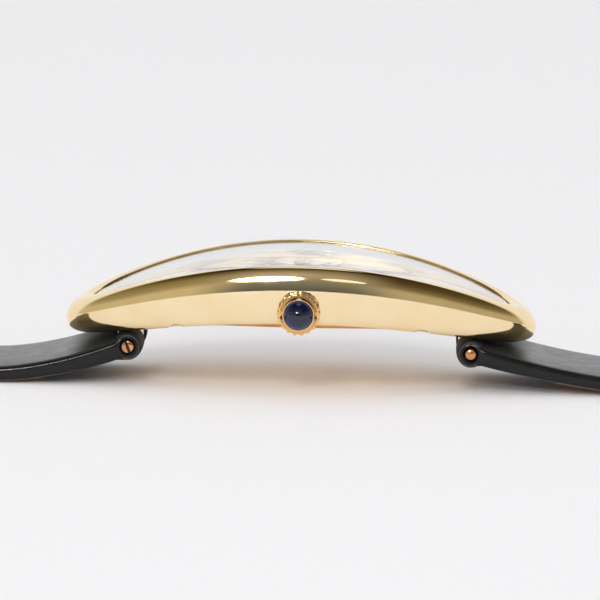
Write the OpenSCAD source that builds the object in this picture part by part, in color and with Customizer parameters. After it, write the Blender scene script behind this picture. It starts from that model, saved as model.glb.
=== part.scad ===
// Arched oval dress watch on two leather straps, lying face up on its open straps.
// +X points to 12 o'clock, -Y to the crown, +Z out of the dial.
// The origin is the middle of the flat land on the case back.

/* [Case] */
// Length of the case along 12 to 6
case_len = 47; // [46:0.5:50]
// Width of the case across 9 to 3
case_wid = 21; // [20.8:0.1:23]
// Height of the bezel's top edge over the back's land, at the middle
case_top = 6.1; // [6:0.1:7]
// Radius of the arch of the bezel's top edge
top_arch = 50; // [49:1:60]
// Height of the widest line of the case, at the middle
girth_h = 3.8; // [3.6:0.1:4.2]
// Radius of the arch of the widest line
girth_arch = 66; // [64:1:72]
// Height of the band's lower edge over the land, at the middle
foot_h = 0.45; // [0.3:0.05:0.6]
// Radius of the arch of the band's lower edge
foot_arch = 92; // [88:1:110]
// How far the bezel's top edge lies inside the widest line, at the middle
bezel_in = 1; // [0.8:0.05:1.1]
// How far it lies inside the widest line at the ends
bezel_end_in = 2.05; // [1.8:0.05:2.3]
// How far the band's lower edge lies inside the widest line, at the middle
foot_in = 0.55; // [0.4:0.05:0.7]
// How far it lies inside the widest line at the ends
foot_end_in = 1.8; // [1.5:0.05:2.2]
// Thickness of the band's wall at the ends
wall_end = 2.8; // [2.7:0.05:2.85]
// Thickness of the band's wall at the sides
wall_side = 1.55; // [1.4:0.05:1.7]
// Depth of the seat that the case back snaps into
back_seat = 0.9; // [0.7:0.05:1.1]
// How far the back's seat lies outside the hollow
back_step = 0.35; // [0.3:0.05:0.45]
// Thickness of the case back
back_thick = 0.45; // [0.35:0.05:0.55]
// Length of the flat land in the middle of the back
land_len = 11; // [8:0.5:13]
// Distance of each opening notch from the end of the case
notch_in = 11.5; // [11:0.5:13]
// Width of each opening notch
notch_wid = 1.4; // [1:0.1:1.8]

/* [Crystal and dial] */
// Depth of the crystal's seat in the bezel
seat_depth = 1; // [0.9:0.05:1.1]
// Width of the ledge that the crystal rests on
ledge_wid = 0.85; // [0.7:0.05:0.95]
// Thickness of the crystal at its rim
crystal_rim = 0.8; // [0.7:0.05:0.85]
// Rise of the crystal's dome over its rim
crystal_dome = 0.5; // [0.3:0.05:0.8]
// Gap between the dial's rim and the band's wall at the ends
dial_gap_end = 0.55; // [0.5:0.05:0.8]
// Gap between the dial's rim and the band's wall at the sides
dial_gap_side = 0.45; // [0.35:0.05:0.6]
// Thickness of the dial
dial_thick = 0.35; // [0.3:0.05:0.4]
// Height of the dial's face over the land, at the middle
dial_h = 4.1; // [4.1:0.05:4.2]
// Radius of the arch of the dial
dial_arch = 62; // [60:1:70]

/* [Hands] */
// Length of the minute hand from its centre
minute_len = 7.6; // [6:0.1:7.8]
// Length of the hour hand from its centre
hour_len = 5; // [4:0.1:5.6]
// Thickness of each hand
hand_thick = 0.1; // [0.08:0.01:0.12]

/* [Movement] */
// Diameter of the movement
plate_dia = 16.4; // [16.4:0.1:16.7]
// Height of the plate's dial side
plate_top = 3.1; // [3.1:0.02:3.14]
// Height at which the bridges meet the plate
bridge_seat = 1.2; // [1.18:0.01:1.22]
// Thickness of the bridges
bridge_thick = 0.28; // [0.24:0.01:0.3]
// Gap between neighbouring bridges
bridge_gap = 0.25; // [0.2:0.05:0.4]

/* [Crown] */
// Height of the stem's axis over the land
stem_h = 1.75; // [1.7:0.01:1.8]
// Diameter of the stem
stem_dia = 0.9; // [0.8:0.05:1]
// Diameter of the crown over its flutes
crown_dia = 4.25; // [3.8:0.05:4.6]
// Length of the fluted ring
crown_wid = 1.35; // [1.1:0.05:1.6]
// Length of the conical collar
collar_len = 0.55; // [0.4:0.05:0.8]
// Number of flutes round the crown
flutes = 18; // [14:1:24]
// Diameter of the stone in the crown
stone_dia = 2.85; // [2.4:0.05:3]
// Height of the stone's dome
stone_dome = 0.95; // [0.7:0.05:1.2]
// How far the crown pulls out to set the hands
crown_pull = 0.7; // [0.5:0.05:0.75]

/* [Straps] */
// Distance of each strap bar from the end of the case
bar_in = 6.5; // [6.3:0.1:6.9]
// Depth of the strap bars under the land
bar_drop = 2.7; // [2.68:0.01:2.8]
// Diameter of the strap bars
bar_dia = 1.25; // [1.1:0.05:1.3]
// Outer radius of the leather loops
loop_r = 1.46; // [1.4:0.01:1.48]
// Width of the central lugs
lug_wid = 4; // [3:0.1:5]
// Depth of the surface that the straps lie on, under the land
table_drop = 6.55; // [6.4:0.05:6.7]
// Thickness of the straps with their linings
strap_thick = 1.7; // [1.6:0.05:1.8]
// Thickness of the linings
lining_thick = 0.4; // [0.35:0.05:0.5]
// Width of the straps at the case
strap_wid = 14; // [13:0.1:14.2]
// Width of the straps at the buckle
strap_end_wid = 12; // [11:0.1:13]
// Length of the 12 o'clock strap from its bar to the buckle's bar
strap_12_len = 75; // [68:1:85]
// Length of the 6 o'clock strap from its bar to its tip
strap_6_len = 110; // [100:1:120]
// Number of buckle holes
buckle_holes = 7; // [5:1:8]
// Diameter of the buckle holes
hole_dia = 1.8; // [1.4:0.1:2]
// Distance between the buckle holes
hole_pitch = 6; // [5:0.5:7]

/* [Buckle and keepers] */
// Diameter of the buckle's spring bar
pin_dia = 1.3; // [1.2:0.05:1.5]
// Length of the buckle from its bar to its bow
buckle_reach = 9; // [8:0.5:11]
// Diameter of the buckle's wire
wire_dia = 1.7; // [1.5:0.05:1.9]
// Length of each keeper along the strap
keeper_len = 4; // [3:0.1:5]
// Thickness of the keepers
keeper_thick = 0.9; // [0.7:0.05:1.1]
// Room in the keepers over the strap
keeper_room = 2.2; // [2:0.1:2.4]

/* [Hidden] */

// Running and seating clearances, and steps of the curved surfaces
run_gap = 0.05;
seat_gap = 0.05;
part_gap = 0.15;
around = 72;
eps = 0.01;
// Reach of blocks and cutters that pass right through the case
far = 20;

// Half sizes of the ovals, from the widest line inwards
girth_a = case_len / 2;
girth_b = case_wid / 2;
crease_a = girth_a - bezel_end_in;
crease_b = girth_b - bezel_in;
ledge_a = crease_a - ledge_wid;
ledge_b = crease_b - ledge_wid;
foot_a = girth_a - foot_end_in;
foot_b = girth_b - foot_in;
cavity_a = girth_a - wall_end;
cavity_b = girth_b - wall_side;
bar_at = girth_a - bar_in;
notch_at = girth_a - notch_in;
rebate_a = cavity_a + back_step;
rebate_b = cavity_b + back_step;

// Height of an arch at x, given its height at the middle
function arch(x, top, r) = top - r + sqrt(r * r - x * x);
function top_z(x) = arch(x, case_top, top_arch);
function girth_z(x) = arch(x, girth_h, girth_arch);
seam_drop = 0.2;
function seam_z(x) = girth_z(x) - seam_drop;
function foot_z(x) = arch(x, foot_h, foot_arch);
function dial_z(x) = arch(x, dial_h, dial_arch);

// A ring of faces between loops of points, closed on itself, for lofted rings
function loop_faces(n, m) = [
    for (i = [0 : n - 1], j = [0 : m - 1])
        let (a = i * m + j, b = i * m + (j + 1) % m,
             c = ((i + 1) % n) * m + (j + 1) % m, d = ((i + 1) % n) * m + j)
        each [[a, c, b], [a, d, c]],
];

// Points of a tube of n rings with m sides, and its faces with both ends closed
function tube_faces(n, m) = concat(
    [for (i = [0 : n - 2], j = [0 : m - 1])
        let (a = i * m + j, b = i * m + (j + 1) % m, c = a + m, d = b + m)
        each [[a, b, d], [a, d, c]]],
    [for (j = [1 : m - 2]) [0, j + 1, j]],
    [for (j = [1 : m - 2]) [(n - 1) * m, (n - 1) * m + j, (n - 1) * m + j + 1]]
);

module oval(a, b) {
    polygon([for (i = [0 : around - 1]) [a * cos(360 * i / around), b * sin(360 * i / around)]]);
}

// An upright oval block from z to z + h
module oval_block(a, b, z, h) {
    translate([0, 0, z]) linear_extrude(h) oval(a, b);
}

// A wall along Y whose side view runs between an upper and a lower line of points
module arched_wall(upper, lower, half) {
    rotate([90, 0, 0]) translate([0, 0, -half]) linear_extrude(2 * half)
        polygon(concat(upper, [for (i = [len(lower) - 1 : -1 : 0]) lower[i]]));
}

// Points of an arch between -reach and reach
function arch_line(reach, top, r, steps = 28) =
    [for (i = [0 : steps]) let (x = -reach + 2 * reach * i / steps) [x, arch(x, top, r)]];

// Bezel: rounded outside, seat and ledge for the crystal, straight wall down to the seam;
// its outside leans in by a few degrees as soon as it leaves the widest line of the case
bezel_steps = 7;
bezel_lean = 13;
rim_edge = 0.12;
function bezel_profile(t) =
    let (c = cos(t), s = sin(t),
         crease = [crease_a * c, crease_b * s], girth = [girth_a * c, girth_b * s],
         ledge = [ledge_a * c, ledge_b * s], cavity = [cavity_a * c, cavity_b * s],
         ct = top_z(crease[0]), gz = girth_z(girth[0]))
    concat(
        [[girth[0], girth[1], seam_z(girth[0])]],
        [for (k = [0 : bezel_steps])
            let (f = bezel_lean + (90 - bezel_lean) * k / bezel_steps,
                 q = 1 - cos(f) / cos(bezel_lean),
                 h = (sin(f) - sin(bezel_lean)) / (1 - sin(bezel_lean)))
            [girth[0] + (crease[0] - girth[0]) * q, girth[1] + (crease[1] - girth[1]) * q,
             gz + (ct - gz) * h]],
        [[crease[0] - rim_edge * c, crease[1] - rim_edge * s, ct - rim_edge],
         [crease[0] - rim_edge * c, crease[1] - rim_edge * s, ct - seat_depth],
         [ledge[0], ledge[1], top_z(ledge[0]) - seat_depth],
         [ledge[0], ledge[1], seam_z(ledge[0])],
         [cavity[0], cavity[1], seam_z(cavity[0])]]
    );

module bezel() {
    color("#f2cf8e")
    polyhedron([for (i = [0 : around - 1]) each bezel_profile(360 * i / around)],
        loop_faces(around, len(bezel_profile(0))), convexity = 6);
}

// Band: drawn in below the widest line, with a rounded lower edge and a seat for the back
band_steps = 8;
band_power = 2.6;
function band_profile(t) =
    let (c = cos(t), s = sin(t),
         girth = [girth_a * c, girth_b * s], foot = [foot_a * c, foot_b * s],
         rebate = [rebate_a * c, rebate_b * s], cavity = [cavity_a * c, cavity_b * s],
         sz = seam_z(girth[0]), fz = foot_z(foot[0]))
    concat(
        [[cavity[0], cavity[1], seam_z(cavity[0])]],
        [for (k = [0 : band_steps])
            let (f = 90 * k / band_steps,
                 q = 1 - cos(f), h = pow(sin(f), 2 / band_power))
            [girth[0] + (foot[0] - girth[0]) * q, girth[1] + (foot[1] - girth[1]) * q,
             sz + (fz - sz) * h]],
        [[rebate[0], rebate[1], foot_z(rebate[0])],
         [rebate[0], rebate[1], foot_z(rebate[0]) + back_seat],
         [cavity[0], cavity[1], foot_z(cavity[0]) + back_seat]]
    );

lug_r = 1.25;
lug_top = foot_z(bar_at + lug_r) + back_seat;

// One central lug, hanging from the cross wall at the end of the hollow
module lug() {
    difference() {
        union() {
            translate([bar_at, lug_wid / 2, -bar_drop]) rotate([90, 0, 0])
                cylinder(r = lug_r, h = lug_wid, $fn = 48);
            translate([bar_at - lug_r, -lug_wid / 2, -bar_drop])
                cube([2 * lug_r, lug_wid, lug_top + bar_drop]);
        }
        translate([bar_at, lug_wid, -bar_drop]) rotate([90, 0, 0])
            cylinder(r = bar_dia / 2 + seat_gap, h = 2 * lug_wid, $fn = 48);
    }
}

tube_r = stem_dia / 2 + 0.5;

// The floor over each strap end, which carries the lug and closes the hollow beyond the back
module end_floor() {
    intersection() {
        oval_block(cavity_a + eps, cavity_b + eps, -far / 2, far);
        translate([floor_at, -girth_b, -far / 2]) cube([girth_a, case_wid, far]);
        arched_wall(arch_line(girth_a - 1, foot_h + back_seat + 0.2, foot_arch),
            arch_line(girth_a - 1, foot_h, foot_arch), girth_b);
    }
}
floor_reach = 2.4;
floor_at = bar_at - floor_reach;

module case_band() {
    color("#f4d29a")
    difference() {
        union() {
            polyhedron([for (i = [0 : around - 1]) each band_profile(360 * i / around)],
                loop_faces(around, len(band_profile(0))), convexity = 6);
            for (m = [0, 1]) mirror([m, 0, 0]) {
                end_floor();
                lug();
            }
        }
        // hole for the crown tube
        translate([0, -cavity_b + 1, stem_h]) rotate([90, 0, 0])
            cylinder(r = tube_r, h = case_wid, $fn = 48);
        // notches for opening the back
        for (x = [-notch_at, notch_at])
            translate([x - notch_wid / 2, -girth_b, foot_z(notch_at) - 1])
                cube([notch_wid, girth_b - foot_b + 1.6, 1.35]);
    }
}

// The back is a short oval cover between the two floors
back_a = floor_at - part_gap;
module back_outline(grow) {
    intersection() {
        oval(rebate_a - seat_gap + grow, rebate_b - seat_gap + grow);
        square([2 * (back_a + grow), case_wid], center = true);
    }
}
back_run = back_a - land_len / 2;
back_end = foot_z(back_a);
back_r = (back_run * back_run + back_end * back_end) / (2 * -back_end);
function back_z(x) = abs(x) <= land_len / 2 ? 0 : arch(abs(x) - land_len / 2, 0, back_r);
back_line = concat(
    [for (i = [0 : 8]) let (x = -back_a + back_run * i / 8) [x, back_z(x)]],
    [for (i = [0 : 8]) let (x = land_len / 2 + back_run * i / 8) [x, back_z(x)]]);

module case_back() {
    color("#eac788")
    intersection() {
        translate([0, 0, -far / 2]) linear_extrude(far) back_outline(0);
        arched_wall([for (p = back_line) [p[0], p[1] + back_thick]], back_line, case_wid);
    }
}

gasket_h = 0.3;
gasket_in = 0.15;
gasket_wid = 0.6;
module back_gasket() {
    color("#2b2b2b")
    intersection() {
        translate([0, 0, -far / 2]) linear_extrude(far) difference() {
            back_outline(-gasket_in);
            back_outline(-gasket_in - gasket_wid);
        }
        arched_wall([for (p = back_line) [p[0], p[1] + back_thick + gasket_h]],
            [for (p = back_line) [p[0], p[1] + back_thick]], case_wid);
    }
}

// Crystal: an arched glass with a dome across, made of rings from the rim to the middle
glass_a = crease_a - 0.12 - seat_gap;
glass_b = crease_b - 0.12 - seat_gap;
glass_rings = 6;
gasket_t = 0.12;
crystal_drop = seat_depth - crystal_rim - gasket_t;
function glass_point(t, f, lift, top) =
    let (x = glass_a * f * cos(t), y = glass_b * f * sin(t))
    [x, y, top_z(x) - crystal_drop - (top ? 0 : crystal_rim) + lift * (1 - f * f)];
module crystal() {
    n = glass_rings;
    upper = [for (k = [n : -1 : 1], i = [0 : around - 1])
        glass_point(360 * i / around, k / n, crystal_dome, true)];
    lower = [for (k = [1 : n], i = [0 : around - 1])
        glass_point(360 * i / around, k / n, crystal_dome - 0.2, false)];
    m = around;
    count = len(upper);
    points = concat(upper, [[0, 0, glass_point(0, 0, crystal_dome, true)[2]]], lower,
        [[0, 0, glass_point(0, 0, crystal_dome - 0.2, false)[2]]]);
    low = count + 1;
    faces = concat(
        [for (k = [0 : n - 2], i = [0 : m - 1])
            let (a = k * m + i, b = k * m + (i + 1) % m) each [[a, b + m, b], [a, a + m, b + m]]],
        [for (i = [0 : m - 1]) [(n - 1) * m + i, count, (n - 1) * m + (i + 1) % m]],
        [for (k = [0 : n - 2], i = [0 : m - 1])
            let (a = low + k * m + i, b = low + k * m + (i + 1) % m)
            each [[a, b + m, b], [a, a + m, b + m]]],
        [for (i = [0 : m - 1]) [low + i, low + (i + 1) % m, low + count]],
        [for (i = [0 : m - 1])
            let (a = i, b = (i + 1) % m, c = low + (n - 1) * m + i, d = low + (n - 1) * m + (i + 1) % m)
            each [[a, b, d], [a, d, c]]]);
    color([0.9, 0.95, 1, 0.35]) polyhedron(points, faces, convexity = 4);
}

// The gasket is the thin seat ring between the ledge and the crystal
function gasket_ring(t) =
    let (c = cos(t), s = sin(t), xo = (crease_a - 0.17) * c, yo = (crease_b - 0.17) * s,
         xi = (ledge_a + 0.1) * c, yi = (ledge_b + 0.1) * s)
    [[xo, yo, top_z(xo) - seat_depth + 0.01], [xo, yo, top_z(xo) - seat_depth + gasket_t - 0.02],
     [xi, yi, top_z(xi) - seat_depth + gasket_t - 0.02], [xi, yi, top_z(xi) - seat_depth + 0.01]];
module crystal_gasket() {
    color("#e8e8e4")
    polyhedron([for (i = [0 : around - 1]) each gasket_ring(360 * i / around)],
        loop_faces(around, 4), convexity = 4);
}

module dial() {
    color("#f1ece0")
    difference() {
        intersection() {
            oval_block(cavity_a - dial_gap_end, cavity_b - dial_gap_side, -far / 2, far);
            arched_wall(arch_line(girth_a, dial_h, dial_arch),
                arch_line(girth_a, dial_h - dial_thick, dial_arch), case_wid);
        }
        cylinder(r = hour_tube_r + part_gap, h = far, $fn = 40);
    }
}

// Hands: slim leaves with a boss at the centre
hour_hand_z = dial_h + 0.25;
minute_hand_z = hour_hand_z + hand_thick + 0.2;
cannon_r = 0.45;
hour_tube_r = 0.75;
function leaf_edge(u, width) = width * pow(max(0, sin(180 * pow(u, 0.8))), 0.9) + 0.06 * (1 - u);
module leaf(length, width, boss, bore) {
    difference() {
        union() {
            cylinder(r = boss, h = hand_thick, $fn = 40);
            linear_extrude(hand_thick) polygon(concat(
                [for (i = [0 : 12]) [length * i / 12, leaf_edge(i / 12, width)]],
                [for (i = [11 : -1 : 0]) [length * i / 12, -leaf_edge(i / 12, width)]]));
            translate([-length * 0.22, -0.1, 0]) cube([length * 0.22, 0.2, hand_thick]);
        }
        translate([0, 0, -1]) cylinder(r = bore, h = 3, $fn = 40);
    }
}

// Hour hand at ten, minute hand at ten past, both measured from 12 o'clock
hour_angle = 55;
minute_angle = -60;
module hour_hand() {
    color("#27406e")
    translate([0, 0, hour_hand_z]) rotate([0, 0, hour_angle])
        leaf(hour_len, 0.42, hour_tube_r + 0.25, hour_tube_r);
}
module minute_hand() {
    color("#27406e")
    translate([0, 0, minute_hand_z]) rotate([0, 0, minute_angle])
        leaf(minute_len, 0.34, cannon_r + 0.3, cannon_r);
}

// Gears: teeth with a short head and a wide gap, so that a pair in mesh keeps some play
function tooth_ring(teeth, m, turn) =
    let (r = teeth * m / 2, tip = r + 0.62 * m, root = r - 1.05 * m, w = 90 / teeth)
    [for (i = [0 : teeth - 1], p = [[-1.25, root], [-0.5, tip], [0.5, tip], [1.25, root]])
        let (a = turn + 360 * i / teeth + w * p[0]) [p[1] * cos(a), p[1] * sin(a)]];
module gear(teeth, m, h, turn = 0) {
    linear_extrude(h) polygon(tooth_ring(teeth, m, turn));
}

// Crossed-out wheel: a toothed rim, a hub and straight arms
module wheel(teeth, m, h, turn = 0, arms = 4, rim = 0.3, hub = 0.5) {
    r = teeth * m / 2;
    difference() {
        gear(teeth, m, h, turn);
        translate([0, 0, -eps]) linear_extrude(h + 2 * eps) difference() {
            circle(r = r - m - rim, $fn = 60);
            circle(r = hub, $fn = 36);
            for (k = [0 : arms - 1]) rotate(360 * k / arms + 20)
                translate([0, -0.13]) square([r, 0.26]);
        }
    }
}

// Tooth counts and modules of the train and the motion work
barrel_teeth = 72;
barrel_m = 0.101;
centre_leaves = 10;
centre_teeth = 64;
centre_m = 0.085;
third_leaves = 8;
third_teeth = 60;
third_m = 0.08;
fourth_leaves = 8;
fourth_teeth = 64;
fourth_m = 0.072;
escape_leaves = 8;
escape_teeth = 15;
cannon_leaves = 12;
minute_teeth = 36;
minute_m = 0.11;
minute_leaves = 10;
hour_teeth = 40;
hour_m = 0.1056;

// Where the arbors stand
barrel_at = (barrel_teeth + centre_leaves) * barrel_m / 2 * [cos(200), sin(200)];
third_at = (centre_teeth + third_leaves) * centre_m / 2 * [cos(-25), sin(-25)];
fourth_at = third_at + (third_teeth + fourth_leaves) * third_m / 2 * [cos(60), sin(60)];
escape_at = fourth_at + (fourth_teeth + escape_leaves) * fourth_m / 2 * [cos(110), sin(110)];
balance_at = [-1.2, 5.6];
fork_at = escape_at + 1.85 * (balance_at - escape_at) / norm(balance_at - escape_at);
minute_at = (cannon_leaves + minute_teeth) * minute_m / 2 * [cos(-75), sin(-75)];
ratchet_teeth = 54;
ratchet_m = 0.104;
crown_wheel_teeth = 30;
crown_way = -42;
crown_wheel_at = barrel_at
    + (ratchet_teeth + crown_wheel_teeth) * ratchet_m / 2 * [cos(crown_way), sin(crown_way)];

// The turn that puts a gap of the second gear against a tooth of the first, along a direction
function mesh_turn(teeth_a, turn_a, teeth_b, way) =
    let (pitch = 360 / teeth_a, off = (way - turn_a) / pitch, part = off - floor(off))
    way + 180 + 180 / teeth_b + part * 360 / teeth_b;

centre_turn = 0;
barrel_turn = mesh_turn(centre_leaves, centre_turn, barrel_teeth, 200);
third_leaf_turn = mesh_turn(centre_teeth, centre_turn, third_leaves, -25);
fourth_leaf_turn = mesh_turn(third_teeth, 0, fourth_leaves, 60);
escape_leaf_turn = mesh_turn(fourth_teeth, 0, escape_leaves, 110);
minute_turn = mesh_turn(cannon_leaves, 0, minute_teeth, -75);
hour_turn = mesh_turn(minute_leaves, 0, hour_teeth, 105);

arbor_r = 0.16;
pivot_r = 0.1;
plate_floor = 2.35;

module arbor(at, low, high, r = arbor_r) {
    translate([at[0], at[1], low]) cylinder(r = r, h = high - low, $fn = 24);
}

bridge_low = bridge_seat - bridge_thick;
module centre_wheel() {
    color("#d9b567") {
        translate([0, 0, 2.08]) wheel(centre_teeth, centre_m, 0.14, centre_turn);
        translate([0, 0, 1.3]) gear(centre_leaves, barrel_m, 0.78 + eps, centre_turn);
        arbor([0, 0], bridge_low, plate_top + 0.02, 0.22);
    }
}
module third_wheel() {
    color("#d9b567") translate([third_at[0], third_at[1], 0]) {
        translate([0, 0, 1.3]) wheel(third_teeth, third_m, 0.14, 0);
        translate([0, 0, 1.44 - eps]) gear(third_leaves, centre_m, 0.82, third_leaf_turn);
        arbor([0, 0], bridge_low, plate_floor + 0.4, pivot_r);
    }
}
module fourth_wheel() {
    color("#d9b567") translate([fourth_at[0], fourth_at[1], 0]) {
        translate([0, 0, 1.62]) wheel(fourth_teeth, fourth_m, 0.14, 0);
        translate([0, 0, 1.26]) gear(fourth_leaves, third_m, 0.36 + eps, fourth_leaf_turn);
        arbor([0, 0], bridge_low, plate_floor + 0.4, pivot_r);
    }
}
// Escape wheel with hooked teeth
module escape_wheel() {
    r = 1.45;
    color("#c9ccd2") translate([escape_at[0], escape_at[1], 0]) {
        translate([0, 0, 1.98]) linear_extrude(0.12) difference() {
            polygon([for (i = [0 : escape_teeth - 1])
                each [for (p = [[0, 1.1], [5, 1.4], [9, r], [11.5, 1.4], [11, 1.1]])
                    p[1] * [cos(360 / escape_teeth * i + p[0]), sin(360 / escape_teeth * i + p[0])]]]);
            difference() {
                circle(r = 0.9, $fn = 40);
                circle(r = 0.36, $fn = 30);
                for (k = [0 : 3]) rotate(90 * k) translate([0, -0.09]) square([1, 0.18]);
            }
        }
        translate([0, 0, 1.5]) gear(escape_leaves, fourth_m, 0.48 + eps, escape_leaf_turn);
        arbor([0, 0], bridge_low, plate_floor + 0.4, pivot_r);
    }
}
fork_way = atan2(balance_at[1] - escape_at[1], balance_at[0] - escape_at[0]);
// Pallet fork: two arms with stones, a lever and a forked end
module pallet_fork() {
    color("#c9ccd2") translate([fork_at[0], fork_at[1], 0]) rotate([0, 0, fork_way]) {
        translate([0, 0, 1.98]) linear_extrude(0.12) difference() {
            union() {
                circle(r = 0.28, $fn = 30);
                polygon([[-0.2, -0.95], [0.1, -0.95], [0.22, 0], [0.1, 0.95], [-0.2, 0.95], [-0.05, 0]]);
                translate([0, -0.12]) square([2.4, 0.24]);
                translate([2.2, -0.3]) square([0.45, 0.6]);
            }
            translate([2.4, -0.12]) square([0.5, 0.24]);
        }
        arbor([0, 0], bridge_low, plate_floor + 0.3, pivot_r);
    }
}
// Balance: a rim on two arms, with its staff and roller
module balance_wheel() {
    color("#dcbc70") translate([balance_at[0], balance_at[1], 0]) {
        translate([0, 0, 1.5]) difference() {
            cylinder(r = 2.15, h = 0.26, $fn = 72);
            translate([0, 0, -eps]) linear_extrude(1) difference() {
                circle(r = 1.8, $fn = 72);
                circle(r = 0.4, $fn = 30);
                translate([-2, -0.15]) square([4, 0.3]);
            }
        }
        translate([0, 0, 1.85]) cylinder(r = 0.36, h = 0.1, $fn = 32);
        arbor([0, 0], bridge_low, plate_floor + 0.3, pivot_r);
    }
}
// Hairspring: a flat spiral of five turns fixed on the balance staff
spring_turns = 5;
spring_w = 0.05;
module hairspring() {
    n = spring_turns * 24;
    function sp(i, off) = let (r = 0.34 + 0.92 * i / n + off) r * [cos(15 * i), sin(15 * i)];
    color("#31456e") translate([balance_at[0], balance_at[1], 1.26]) linear_extrude(0.14) {
        polygon(concat([for (i = [0 : n]) sp(i, spring_w / 2)],
            [for (i = [n : -1 : 0]) sp(i, -spring_w / 2)]));
        difference() {
            circle(r = 0.36, $fn = 30);
            circle(r = pivot_r, $fn = 24);
        }
    }
}
module barrel() {
    color("#d9b567") translate([barrel_at[0], barrel_at[1], 0]) {
        translate([0, 0, 1.3]) cylinder(r = barrel_teeth * barrel_m / 2 - 0.25, h = 0.7, $fn = 72);
        translate([0, 0, 1.72]) gear(barrel_teeth, barrel_m, 0.28, barrel_turn);
    }
}
wheel_low = 0.68;
wheel_high = bridge_low - 0.04;
module ratchet_wheel() {
    color("#d5d7da") translate([barrel_at[0], barrel_at[1], 0]) {
        translate([0, 0, wheel_low]) gear(ratchet_teeth, ratchet_m, wheel_high - wheel_low);
        translate([0, 0, wheel_high - eps]) cylinder(r = 0.5, h = 1.3 - run_gap - wheel_high, $fn = 36);
    }
}
module crown_wheel() {
    color("#d5d7da") translate([crown_wheel_at[0], crown_wheel_at[1], wheel_low]) difference() {
        gear(crown_wheel_teeth, ratchet_m, wheel_high - wheel_low,
            mesh_turn(ratchet_teeth, 0, crown_wheel_teeth, crown_way));
        translate([0, 0, -eps]) cylinder(r = 0.4 + run_gap, h = 1, $fn = 36);
    }
}
click_at = barrel_at + 3.75 * [cos(100), sin(100)];
module click() {
    color("#b8bbc0") translate([click_at[0], click_at[1], wheel_low])
        linear_extrude(wheel_high - wheel_low) difference() {
            union() {
                circle(r = 0.45, $fn = 32);
                rotate(-150) translate([0, -0.12]) square([1.5, 0.3]);
            }
            circle(r = 0.2 + run_gap, $fn = 24);
        }
}

// Motion work under the dial
motion_low = plate_top + 0.05;
module cannon_pinion() {
    color("#c9ccd2") {
        difference() {
            union() {
                translate([0, 0, motion_low]) gear(cannon_leaves, minute_m, 0.22, 0);
                translate([0, 0, motion_low + 0.2])
                    cylinder(r = cannon_r, h = minute_hand_z + hand_thick - motion_low - 0.12, $fn = 36);
            }
            translate([0, 0, motion_low - eps]) cylinder(r = 0.22, h = 1, $fn = 24);
        }
    }
}
module minute_wheel() {
    color("#d9b567") translate([minute_at[0], minute_at[1], motion_low]) difference() {
        union() {
            wheel(minute_teeth, minute_m, 0.12, minute_turn, 3);
            translate([0, 0, 0.1]) gear(minute_leaves, hour_m, 0.3, 0);
        }
        translate([0, 0, -eps]) cylinder(r = 0.15 + run_gap, h = 1, $fn = 24);
    }
}
module hour_wheel() {
    hour_low = motion_low + 0.25;
    color("#d9b567") difference() {
        union() {
            translate([0, 0, hour_low]) gear(hour_teeth, hour_m, 0.12, hour_turn);
            translate([0, 0, hour_low])
                cylinder(r = hour_tube_r, h = hour_hand_z + hand_thick - hour_low, $fn = 40);
        }
        translate([0, 0, hour_low - eps]) cylinder(r = cannon_r + run_gap, h = 3, $fn = 40);
    }
}

// Pillars, screws and jewels of the movement
plate_r = plate_dia / 2;
screw_spots = [[-7.4, 2.2], [-2.6, -7.2], [6.6, -3.6], [6.9, 2.4], [4.9, 5.5], [-4.3, 6.0]];
module channel() {
    translate([-1.05, -plate_r - 1, 0.5]) cube([2.1, plate_r + 1 - 3.6, 2.2]);
}
module mainplate() {
    pockets = [[barrel_at, 3.82], [[0, 0], 2.95], [third_at, 2.6], [fourth_at, 2.45],
        [escape_at, 1.65], [fork_at, 1.25], [balance_at, 2.3]];
    color("#d8d5c4") difference() {
        translate([0, 0, bridge_seat]) cylinder(r = plate_r, h = plate_top - bridge_seat, $fn = 96);
        for (p = pockets) translate([p[0][0], p[0][1], 0]) cylinder(r = p[1], h = plate_floor, $fn = 60);
        translate([fork_at[0], fork_at[1], 0]) rotate([0, 0, fork_way])
            translate([0.4, -0.7, 0]) cube([1.8, 1.4, plate_floor]);
        channel();
        for (at = [third_at, fourth_at, escape_at, fork_at, balance_at])
            arbor(at, plate_floor - 0.1, plate_floor + 0.45, pivot_r + run_gap);
        arbor([0, 0], 2, 4, 0.22 + run_gap);
        for (s = screw_spots) arbor(s, 0.5, 2, 0.25);
    }
    color("#d8d5c4") {
        arbor(minute_at, plate_top - eps, plate_top + 0.5, 0.15);
        arbor(barrel_at, 2.05, plate_floor + eps, 0.6);
    }
}
module bridge_plate(region) {
    translate([0, 0, bridge_low]) linear_extrude(bridge_thick) intersection() {
        circle(r = plate_r - 0.1, $fn = 96);
        offset(delta = -bridge_gap / 2) polygon(region);
    }
}
split = [0.4, 2.9];
module barrel_bridge() {
    color("#e3e1d8") difference() {
        bridge_plate([[1.6, -far], [1.6, -2], split, [-far, 2.9 + 7], [-far, -far]]);
        translate([-0.95, -plate_r - 1, 0]) cube([1.9, plate_r + 1 - pinion_at + 0.15, 2]);
        arbor(barrel_at, 0, 2, 0.5 + run_gap);
        arbor([0, 0], 0, 2, 0.22 + run_gap);
        for (s = [screw_spots[0], screw_spots[1]]) arbor(s, 0, 2, 0.25);
        arbor(click_at, 0, 2, 0.2);
    }
    color("#e3e1d8") {
        arbor(crown_wheel_at, wheel_low, bridge_seat, 0.4);
        arbor(click_at, wheel_low, bridge_seat, 0.2);
    }
}
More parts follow.
